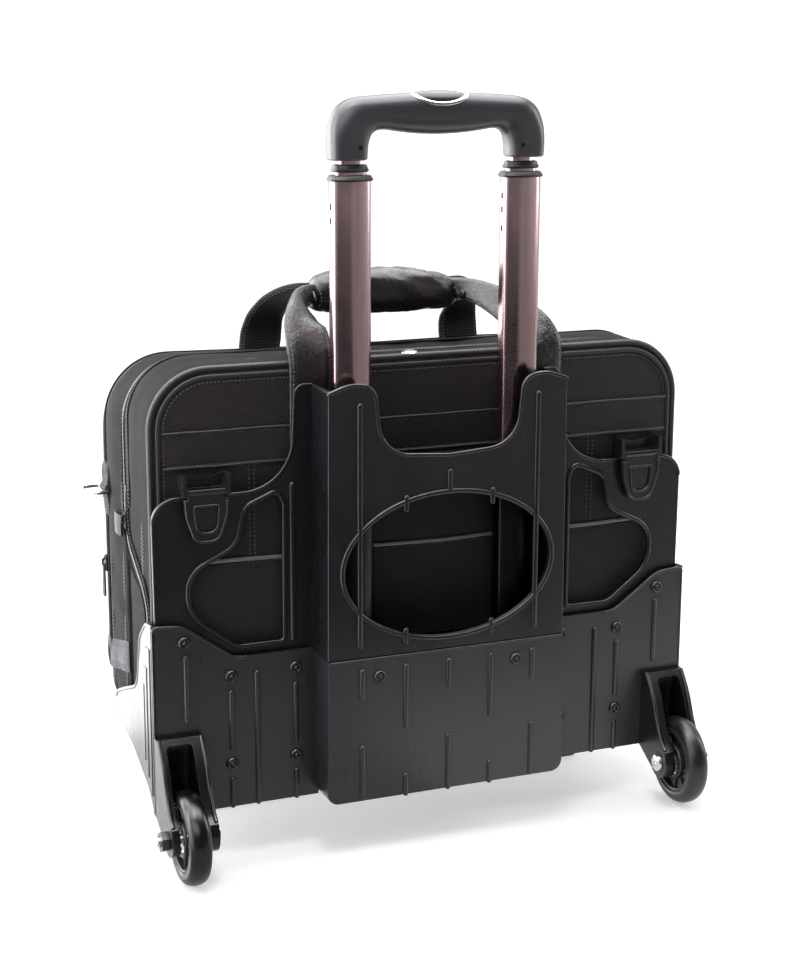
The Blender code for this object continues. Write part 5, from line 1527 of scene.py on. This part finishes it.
for sign, side in SIDES:
    for tag, ylow, yhigh, body, warp in (("front", 0.0795, 0.1385, "front_section", None), ("pocket", 0.1412, 0.1520, "front_pocket", None)):
        def z_at(y, top):
            f = (y - 0.063) / 0.085
            return (0.1558 - 0.0205 * f) if top else (0.1305 - 0.0195 * f)
        rows = side_strip([(ylow, z_at(ylow, False)), (yhigh, z_at(yhigh, False))], [(ylow, z_at(ylow, True)), (yhigh, z_at(yhigh, True))], skin_x)
        g = band(rows)
        if sign < 0:
            g = g.mirror()
        emit("side_patch_%s_%s" % (tag, side), g, PATCH_LEATHER, body, [], angle=70, uv=True)
        st = G()
        for t in (0.10, 0.20, 0.80, 0.90):
            ln = [Vector(r[0]).lerp(Vector(r[-1]), t) + Vector((0.0012, 0, 0)) for r in rows]
            st.add(stitches(ln, (1, 0, 0), 0.0031, 0.0021, 0.00034))
        emit("side_patch_stitches_%s_%s" % (tag, side), st if sign > 0 else st.mirror(), THREAD, body, [], angle=60)

# ---------------------------------------------------------------- shoulder strap rings in their tabs
for sign, side in SIDES:
    loop = rounded([(-0.0130, 0.0, 0.0030), (0.0130, 0.0, 0.0030), (0.0130, -0.0175, 0.0125), (-0.0130, -0.0175, 0.0125)], 12)
    pts = [(0.2196 - q, 0.1320 + p, 0.2618) for p, q in loop]
    ring = tube(walk(pts, 0.0018, True), 0.00155, True, (0, 0, 1), 14)
    emit("shoulder_ring_" + side, ring if sign > 0 else ring.mirror(), NICKEL, "strap_ring_" + side, ["strap_ring_" + side], angle=60)
    tab = []
    for z, out in ((0.2400, 0.0006), (0.2440, 0.0016), (0.2520, 0.0020), (0.2580, 0.0028), (0.2605, 0.0043), (0.2622, 0.0050),
                   (0.2640, 0.0046), (0.2665, 0.0028), (0.2720, 0.0020), (0.2790, 0.0018), (0.2830, 0.0006)):
        tab.append([(0.2178 + out * k, 0.1320 + w, z) for w, k in ((-0.0085, 0.3), (-0.0078, 1.0), (0, 1.06), (0.0078, 1.0), (0.0085, 0.3))])
    g = band(tab)
    g.add(stitches([(0.2206, 0.1255, 0.2455), (0.2206, 0.1255, 0.2560), (0.2206, 0.1385, 0.2560), (0.2206, 0.1385, 0.2455)], (1, 0, 0), 0.0028, 0.002, 0.0003))
    emit("shoulder_tab_" + side, g if sign > 0 else g.mirror(), WEB, "front_section", [], angle=60, uv=True)


# ---------------------------------------------------------------- zip sliders
def slider(at, x, sign=-1):
    y, z = at
    g = G()
    g.add(prism(rounded([(y - 0.0044, z - 0.0068, 0.0022), (y + 0.0044, z - 0.0068, 0.0022), (y + 0.0036, z + 0.0062, 0.003), (y - 0.0036, z + 0.0062, 0.003)], 6),
                "X", x - 0.0019, x + 0.0004))
    return g


bridge = lambda y, z, x: tube([(x - 0.0016, y, z + 0.0040), (x - 0.0036, y, z + 0.0024), (x - 0.0038, y, z - 0.0010), (x - 0.0016, y, z - 0.0030)], 0.0010, False, (0, 1, 0), 10)
x1 = -0.2180
emit("main_slider", slider((SEAM1 + 0.0005, 0.2500), x1), SLIDER, "main_zip", ["main_zip_slider"], bevel=0.0004)
emit("main_slider_bridge", bridge(SEAM1 + 0.0005, 0.2500, x1), SLIDER, "main_zip", [], angle=60)
tabg = []
for i in range(13):
    f = i / 12.0
    y = SEAM1 + 0.0030 + 0.0185 * f
    bow = -0.0011 * math.sin(math.pi * f)
    tabg.append([(x1 - 0.0030 + bow + o, y, 0.2445 + w) for w, o in ((-0.0085, 0.0), (-0.0082, -0.0008), (0, -0.0011), (0.0082, -0.0008), (0.0085, 0.0),
                                                                    (0.0082, 0.0006), (0, 0.0008), (-0.0082, 0.0006))])
emit("main_pull_tab", loft(tabg), SLIDER, "main_zip", [], angle=60, uv=True)
emit("main_pull_edge", tube([(x1 - 0.0032, SEAM1 + 0.0212, 0.2365), (x1 - 0.0032, SEAM1 + 0.0212, 0.2525)], 0.0009, False, (1, 0, 0), 8), BIND_LIGHT,
     "main_zip", [], angle=60)
emit("pocket_slider", slider((SEAM2, 0.2000), x1 - 0.0006), SLIDER, "pocket_zip", ["pocket_zip_slider"], bevel=0.0004)
emit("pocket_slider_bridge", bridge(SEAM2, 0.2000, x1 - 0.0006), SLIDER, "pocket_zip", [], angle=60)
pull = prism(rounded([(SEAM2 - 0.0034, 0.1720, 0.003), (SEAM2 + 0.0034, 0.1720, 0.003), (SEAM2 + 0.0022, 0.1985, 0.002), (SEAM2 - 0.0022, 0.1985, 0.002)], 6),
             "X", x1 - 0.0042, x1 - 0.0026)
emit("pocket_pull", pull, RUBBER, "pocket_zip", [], bevel=0.0005)

# ---------------------------------------------------------------- carry handles
WRAP_X, WRAP_Y, WRAP_Z = -0.0050, 0.0860, 0.4150


def strap(stations, thick, crown=0.0010, per=8):
    """Webbing or leather strap along (x, y, z, width) stations, broad side facing Y."""
    path = curve(stations, per)
    rings, edges_a, edges_b = [], [], []
    n = len(path)
    for i, (x, y, z, w) in enumerate(path):
        p, q = path[max(i - 2, 0)], path[min(i + 2, n - 1)]
        run = Vector((q[0] - p[0], q[1] - p[1], q[2] - p[2])).normalized()
        flat_run = Vector((run.x, 0, run.z))
        if flat_run.length < 0.05:
            flat_run = Vector((0, 0, 1))
        flat_run.normalize()
        s = Vector((-flat_run.z, 0, flat_run.x))
        nrm = s.cross(run).normalized()
        if nrm.y > 0:
            nrm = -nrm
        c = Vector((x, y, z))
        ring = []
        for k in (-1.0, -0.93, -0.6, -0.2, 0.2, 0.6, 0.93, 1.0):
            ring.append(c + s * (w / 2 * k) + nrm * (thick / 2 * (0.25 if abs(k) == 1.0 else 1.0) + crown * (1 - k * k)))
        for k in (1.0, 0.93, 0.6, 0.2, -0.2, -0.6, -0.93, -1.0):
            ring.append(c + s * (w / 2 * k) - nrm * (thick / 2 * (0.25 if abs(k) == 1.0 else 1.0) - crown * (1 - k * k)))
        rings.append([tuple(v + nrm * (0.0006 * noise.noise(v * 70))) for v in ring])
        edges_a.append((c + s * (w / 2 - 0.0030) + nrm * (thick / 2 + crown * 0.3), nrm))
        edges_b.append((c - s * (w / 2 - 0.0030) + nrm * (thick / 2 + crown * 0.3), nrm))
    g = loft(rings)
    th = G()
    for line in (edges_a, edges_b):
        for flip in (1, -1):
            pts = [p if flip > 0 else p - nn * (thick + 0.0004) for p, nn in line]
            look = [(p, nn) for p, nn in line]
            th.add(stitches(pts, lambda q, L=look, k=flip: min(L, key=lambda e: (e[0] - q).length_squared)[1] * k, 0.0032, 0.0022, 0.00036))
    return g, th


left_rear = [(-0.0940, 0.0066, 0.3080, 0.034), (-0.0940, 0.0064, 0.3500, 0.034), (-0.0940, 0.0066, 0.3748, 0.034),
             (-0.0945, 0.0100, 0.3880, 0.0345), (-0.0935, 0.0200, 0.4010, 0.0330), (-0.0890, 0.0360, 0.4085, 0.0280),
             (-0.0830, 0.0560, 0.4125, 0.0210), (-0.0740, 0.0720, 0.4140, 0.0165), (-0.0640, 0.0810, 0.4145, 0.0140), (-0.0500, 0.0825, 0.4145, 0.0130)]
right_rear = [(0.0400, 0.0825, 0.4145, 0.0130), (0.0540, 0.0800, 0.4140, 0.0150), (0.0640, 0.0690, 0.4125, 0.0180),
              (0.0735, 0.0520, 0.4080, 0.0220), (0.0830, 0.0340, 0.4000, 0.0270), (0.0905, 0.0180, 0.3905, 0.0310),
              (0.0945, 0.0095, 0.3810, 0.0335), (0.0955, 0.0066, 0.3720, 0.034), (0.0950, 0.0064, 0.3500, 0.034), (0.0950, 0.0066, 0.3080, 0.034)]
rear_g, rear_t = strap(left_rear, 0.0032)
more, more_t = strap(right_rear, 0.0032)
rear_g.add(more)
rear_t.add(more_t)
emit("rear_handle_straps", rear_g, LEATHER, "bag", ["carry_strap_rear"], angle=70, uv=True)
emit("rear_handle_stitches", rear_t, THREAD_LIGHT, "bag", [], angle=60)
left_front = [(-0.0925, 0.1310, 0.3560, 0.034), (-0.0920, 0.1328, 0.3680, 0.034), (-0.0905, 0.1318, 0.3800, 0.0335), (-0.0895, 0.1260, 0.3910, 0.0300),
              (-0.0870, 0.1150, 0.4010, 0.0250), (-0.0820, 0.1030, 0.4085, 0.0200), (-0.0740, 0.0945, 0.4130, 0.0165), (-0.0640, 0.0900, 0.4145, 0.0140),
              (-0.0480, 0.0895, 0.4145, 0.0130)]
right_front = [(-0.0050 * 2 - a[0] + 0.0, a[1], a[2], a[3]) for a in left_front][::-1]
right_front = [(x - 0.0010, y, z, w) for x, y, z, w in right_front]
f_g, f_t = strap(left_front, 0.0034)
more, more_t = strap(right_front, 0.0034)
f_g.add(more)
f_t.add(more_t)
emit("front_handle_straps", f_g, WEB, "front_section", ["carry_strap_front"], angle=70, uv=True, warp=lambda p: droop(p) if p[2] < 0.375 else Vector(p))
emit("front_handle_stitches", f_t, THREAD, "front_section", [], angle=60)

# the leather wrap: a crinkled roll with a slit on its front side
profile = curve([(-0.0672, 0.4165, 0.4050), (-0.0660, 0.4205, 0.4025), (-0.0607, 0.4272, 0.4005), (-0.0500, 0.4302, 0.3985), (-0.0326, 0.4318, 0.3970),
                 (-0.0030, 0.4316, 0.3962), (0.0200, 0.4295, 0.3962), (0.0395, 0.4262, 0.3972), (0.0500, 0.4225, 0.3990), (0.0565, 0.4165, 0.4030), (0.0578, 0.4125, 0.4055)], 10)
rings = []
for i, (x, top, low) in enumerate(profile):
    cz, hz = (top + low) / 2, (top - low) / 2
    hy = 0.0145 * min(1.0, hz / 0.0165) + 0.0005
    outer, inner = [], []
    for k in range(49):
        t = math.radians(14.0) + math.radians(332.0) * k / 48
        c, s = math.cos(t), math.sin(t)
        yv, zv = math.copysign(abs(c) ** 0.85, c), math.copysign(abs(s) ** 0.85, s)
        v = Vector((x, WRAP_Y + hy * yv, cz + hz * zv))
        fold = noise.noise(Vector((x * 62 + c * 1.4, c * 1.1, s * 1.6))) * 0.0013
        fold += (abs(noise.noise(Vector((x * 120 + s * 2.0, c * 2.0, 4.0 + s * 1.2)))) - 0.2) * 0.0011
        r = 1.0 if 0.03 < i / len(profile) < 0.97 else 0.35
        d = Vector((0, yv * hy, zv * hz)).normalized()
        outer.append(tuple(v + d * fold * r))
        inner.append(tuple(Vector((x, WRAP_Y + (hy - 0.0030) * yv, cz + (hz - 0.0030) * zv))))
    rings.append(outer + inner[::-1])
wrap = loft(rings)
emit("handle_wrap", wrap, WRAP_LEATHER, "bag", ["carry_wrap"], angle=70, uv=True)
g, th = G(), G()
for i in (3, len(profile) - 5):
    x, top, low = profile[i]
    cz, hz = (top + low) / 2, (top - low) / 2
    ring = [(x, WRAP_Y + 0.0150 * math.cos(t), cz + (hz + 0.0004) * math.sin(t)) for t in [math.radians(16 + 328 * k / 40) for k in range(41)]]
    g.add(tube(ring, 0.0012, False, (1, 0, 0), 8))
    x2 = x + (0.005 if i < 10 else -0.005)
    ring2 = [(x2, WRAP_Y + 0.0158 * math.cos(t), cz + (hz + 0.0016) * math.sin(t)) for t in [math.radians(16 + 328 * k / 40) for k in range(41)]]
    th.add(stitches(ring2, lambda q: (0, q.y - WRAP_Y, q.z - 0.4145), 0.0032, 0.0022, 0.0004))
for zoff in (0.0045, -0.0045):
    pts = [Vector((x, WRAP_Y + 0.0152 * min(1.0, (top - low) / 0.033) - 0.0002, (top + low) / 2 + zoff * 1.6)) for x, top, low in profile[4:-4]]
    th.add(stitches(pts, (0, 1, 0), 0.0032, 0.0022, 0.0004))
emit("handle_wrap_binding", g, LEATHER, "bag", [], angle=60, uv=True)
emit("handle_wrap_stitches", th, THREAD_LIGHT, "bag", [], angle=60)

# snap on the top edge
snap = turned([(-0.0004, 0), (-0.0004, 0.0066), (0.0008, 0.0064), (0.0018, 0.0050), (0.0022, 0.0030), (0.0023, 0)], (-0.0105, 0.0165, 0.3746), "Z", 40)
emit("top_snap", snap, NICKEL, "bag", [], angle=60)

# ---------------------------------------------------------------- latches
for sign, side in SIDES:
    f = (lambda g: g) if sign > 0 else (lambda g: g.mirror())
    body = box(CLIP_X - 0.0180, CLIP_X + 0.0180, -0.0078, 0.0082, WING_TOP + 0.0008, 0.2993)
    scoop_cut = turned([(-0.02, 0), (-0.02, 0.0300), (0.02, 0.0300), (0.02, 0)], (CLIP_X, 0.0, 0.3251), "Y", 160)
    base = shape(body, cut=[scoop_cut, box(CLIP_X - 0.0140, CLIP_X + 0.0140, -0.0100, -0.0012, 0.2700, 0.2906),
                            box(CLIP_X - 0.0152, CLIP_X + 0.0152, -0.0100, 0.0030, 0.2907, 0.3100),
                            box(CLIP_X - 0.0140, CLIP_X + 0.0140, -0.0058, 0.0040, 0.2880, 0.3000)])
    emit("clip_base_" + side, f(base), CLIP, "bag", ["latch_base_" + side], bevel=0.0006)
    bar = tube([(CLIP_X - 0.0138, CLIP_Y, CLIP_Z), (CLIP_X + 0.0138, CLIP_Y, CLIP_Z)], 0.0029, False, (0, 0, 1), 24)
    line_t = rounded([(CLIP_X - 0.0136, 0.2866, 0), (CLIP_X - 0.0136, 0.2819, 0), (CLIP_X - 0.0172, 0.2819, 0.001),
                      (CLIP_X - 0.0162, 0.2680, 0.0200), (CLIP_X - 0.0095, 0.2480, 0.0095), (CLIP_X + 0.0095, 0.2480, 0.0095),
                      (CLIP_X + 0.0162, 0.2680, 0.0200), (CLIP_X + 0.0172, 0.2819, 0.001), (CLIP_X + 0.0136, 0.2819, 0), (CLIP_X + 0.0136, 0.2866, 0)], 12)
    thumb = rounded([(CLIP_X - 0.0098, 0.2762, 0.0014), (CLIP_X - 0.0076, 0.2556, 0.0072), (CLIP_X + 0.0076, 0.2556, 0.0072), (CLIP_X + 0.0098, 0.2762, 0.0014)], 12)
    tongue = shape(prism(line_t, "Y", CLIP_Y - 0.0012, CLIP_Y + 0.0026), cut=[prism(thumb, "Y", -0.02, CLIP_Y + 0.0008)])
    emit("clip_tongue_" + side, f(tongue), CLIP, "latch_" + side, ["latch_tongue_" + side], bevel=0.0008)
    g = G()
    g.add(bar)
    g.add(tube(walk(xz(thumb, CLIP_Y - 0.0013), 0.001, True), 0.00115, True, (0, 1, 0), 10))
    rim_t = inset([p for p in line_t if p[1] < 0.2819], 0.0012)
    g.add(tube(walk(xz(rim_t, CLIP_Y - 0.0012), 0.001), 0.0012, False, (0, 1, 0), 10))
    inner_t = inset(thumb, 0.0016)
    g.add(prism(inner_t, "Y", CLIP_Y - 0.0004, CLIP_Y + 0.0010))
    emit("clip_tongue_rims_" + side, f(g), CLIP, "latch_" + side, [], angle=40)


# ================================================================ floor, light and camera
floor_mesh = bpy.data.meshes.new("floor")
floor_mesh.from_pydata([(-9, -9, 0), (9, -9, 0), (9, 9, 0), (-9, 9, 0)], [], [(0, 1, 2, 3)])
floor = bpy.data.objects.new("floor", floor_mesh)
bpy.context.scene.collection.objects.link(floor)
fm = Mat("floor_paper", (0.88, 0.88, 0.885), 0.60, spec=0.2)
fm.bump(fm.noise(400.0, 2.0), 0.00005)
fm.set("Emission Color", (1.0, 1.0, 1.0, 1.0))
fm.set("Emission Strength", 0.38)
floor_mesh.materials.append(fm.m)

world = bpy.data.worlds.new("studio")
bpy.context.scene.world = world
world.use_nodes = True
wt = world.node_tree
wt.nodes.clear()
out = wt.nodes.new("ShaderNodeOutputWorld")
bg = wt.nodes.new("ShaderNodeBackground")
wt.links.new(bg.outputs[0], out.inputs[0])
co = wt.nodes.new("ShaderNodeTexCoord")
sep = wt.nodes.new("ShaderNodeSeparateXYZ")
wt.links.new(co.outputs["Generated"], sep.inputs[0])


def ramp(socket, a, b, lo, hi):
    n = wt.nodes.new("ShaderNodeMapRange")
    n.interpolation_type = "SMOOTHSTEP"
    n.inputs[1].default_value, n.inputs[2].default_value = a, b
    n.inputs[3].default_value, n.inputs[4].default_value = lo, hi
    wt.links.new(socket, n.inputs[0])
    return n.outputs[0]


def most(a, b):
    n = wt.nodes.new("ShaderNodeMath")
    n.operation = "MAXIMUM"
    wt.links.new(a, n.inputs[0])
    wt.links.new(b, n.inputs[1])
    return n.outputs[0]


back = ramp(sep.outputs[1], -0.10, 0.30, 0.0, 1.0)
left = ramp(sep.outputs[0], -0.62, -0.90, 0.0, 1.0)
right = ramp(sep.outputs[0], 0.72, 0.98, 0.0, 0.62)
top = ramp(sep.outputs[2], 0.50, 0.95, 0.0, 0.50)
level = most(most(back, left), most(right, top))
wt.links.new(ramp(level, 0.0, 1.0, 0.08, 1.15), bg.inputs["Strength"])
bg.inputs["Color"].default_value = (1.0, 0.99, 0.995, 1.0)


def lamp(name, at, aim, size, power, colour=(1, 1, 1), size_y=None):
    data = bpy.data.lights.new(name, "AREA")
    data.energy, data.size, data.color = power, size, colour
    if size_y:
        data.shape, data.size_y = "RECTANGLE", size_y
    o = bpy.data.objects.new(name, data)
    bpy.context.scene.collection.objects.link(o)
    o.location = at
    o.rotation_euler = (Vector(aim) - Vector(at)).to_track_quat("-Z", "Y").to_euler()
    return o


lamp("softbox_left", (-1.5, 0.10, 0.80), (0, 0, 0.28), 0.35, 14.0, size_y=1.3)
lamp("softbox_top", (-0.1, -0.15, 1.9), (0, 0, 0.2), 0.35, 14.0, size_y=1.4)
lamp("strip_front_left", (-1.3, -1.0, 1.0), (0, 0, 0.25), 0.12, 3.0, size_y=1.2)
lamp("softbox_right", (1.6, -0.35, 0.9), (0, 0, 0.3), 0.30, 11.0, size_y=1.2)


def card(name, corners, colour, strength):
    """A flag or reflector that only reflections see."""
    mesh = bpy.data.meshes.new(name)
    mesh.from_pydata(corners, [], [(0, 1, 2, 3)])
    o = bpy.data.objects.new(name, mesh)
    bpy.context.scene.collection.objects.link(o)
    c = Mat(name, colour, 0.9, spec=0.0)
    c.set("Emission Color", (1.0, 0.985, 1.0, 1.0))
    c.set("Emission Strength", strength)
    mesh.materials.append(c.m)
    o.visible_camera = o.visible_diffuse = o.visible_shadow = o.visible_transmission = False
    return o


def flat_card(name, x0, x1, y0, y1, z, colour, strength):
    return card(name, [(x0, y0, z), (x1, y0, z), (x1, y1, z), (x0, y1, z)], colour, strength)


flat_card("flag_front", -3.0, 0.42, -5.0, -0.42, 0.003, (0.01, 0.01, 0.01), 0.03)
flat_card("floor_front_right", 0.42, 3.2, -5.0, -0.42, 0.003, (0.01, 0.01, 0.01), 0.45)
flat_card("floor_front_left", -0.7, 0.03, -0.42, -0.09, 0.003, (0.01, 0.01, 0.01), 0.60)
flat_card("reflector_back_left", -2.4, -0.26, 0.22, 2.6, 0.004, (0.8, 0.8, 0.8), 3.8)
flat_card("reflector_floor_left", -2.4, -0.42, -0.35, 0.22, 0.004, (0.8, 0.8, 0.8), 3.0)
flat_card("reflector_top", -1.6, 1.2, -0.8, 1.6, 1.9, (0.8, 0.8, 0.8), 6.5)
card("reflector_back_side", [(-2.6, 0.9, 0.0), (-0.75, 3.4, 0.0), (-0.75, 3.4, 2.2), (-2.6, 0.9, 2.2)], (0.8, 0.8, 0.8), 7.0)
card("reflector_left", [(-1.9, -0.75, 0.02), (-1.9, 1.5, 0.02), (-1.9, 1.5, 1.9), (-1.9, -0.75, 1.9)], (0.8, 0.8, 0.8), 4.0)
card("reflector_high_front", [(-1.5, -1.5, 1.1), (-0.2, -2.0, 1.1), (-0.2, -1.6, 2.0), (-1.5, -1.1, 2.0)], (0.8, 0.8, 0.8), 3.2)

# plain white paper all round, which only the camera sees
sky = bpy.data.meshes.new("backdrop")
B = 8.9
sky.from_pydata([(-B, -B, -0.01), (B, -B, -0.01), (B, B, -0.01), (-B, B, -0.01), (-B, -B, 9), (B, -B, 9), (B, B, 9), (-B, B, 9)], [],
                [(0, 1, 5, 4), (1, 2, 6, 5), (2, 3, 7, 6), (3, 0, 4, 7), (4, 5, 6, 7)])
backdrop = bpy.data.objects.new("backdrop", sky)
bpy.context.scene.collection.objects.link(backdrop)
bm = Mat("backdrop_paper", (0.9, 0.9, 0.9), 0.9, spec=0.0)
bm.set("Emission Color", (1.0, 1.0, 1.0, 1.0))
bm.set("Emission Strength", 1.0)
sky.materials.append(bm.m)
backdrop.visible_diffuse = backdrop.visible_glossy = backdrop.visible_shadow = backdrop.visible_transmission = False

# camera at the solved place
S, a, th, rho, D = 0.93, 0.406807, 0.2342066, 0.00771825, 1.5829887
fwd = Vector((math.sin(a) * math.cos(th), math.cos(a) * math.cos(th), -math.sin(th)))
right_v = Vector((math.cos(a), -math.sin(a), 0))
up_v = right_v.cross(fwd)
cr = right_v * math.cos(rho) + up_v * math.sin(rho)
cu = -right_v * math.sin(rho) + up_v * math.cos(rho)
C = -fwd * D + Vector((0, 0, 0.3))
C = (C - Vector((0, 0, 0.0046))) * S + Vector((0, Y0, 0))
M = Matrix((cr, cu, -fwd)).transposed().to_4x4()
M.translation = C
cam_data = bpy.data.cameras.new("camera")
cam = bpy.data.objects.new("camera", cam_data)
bpy.context.scene.collection.objects.link(cam)
cam.matrix_world = M
cam_data.sensor_width = 36.0
cam_data.lens = 1928.66 * 36 / 978
cam_data.shift_x, cam_data.shift_y = (400 - 430.549) / 978, (485.043 - 489) / 978
cam_data.clip_start, cam_data.clip_end = 0.02, 60
bpy.context.scene.camera = cam
bpy.context.scene.view_settings.view_transform = "Standard"
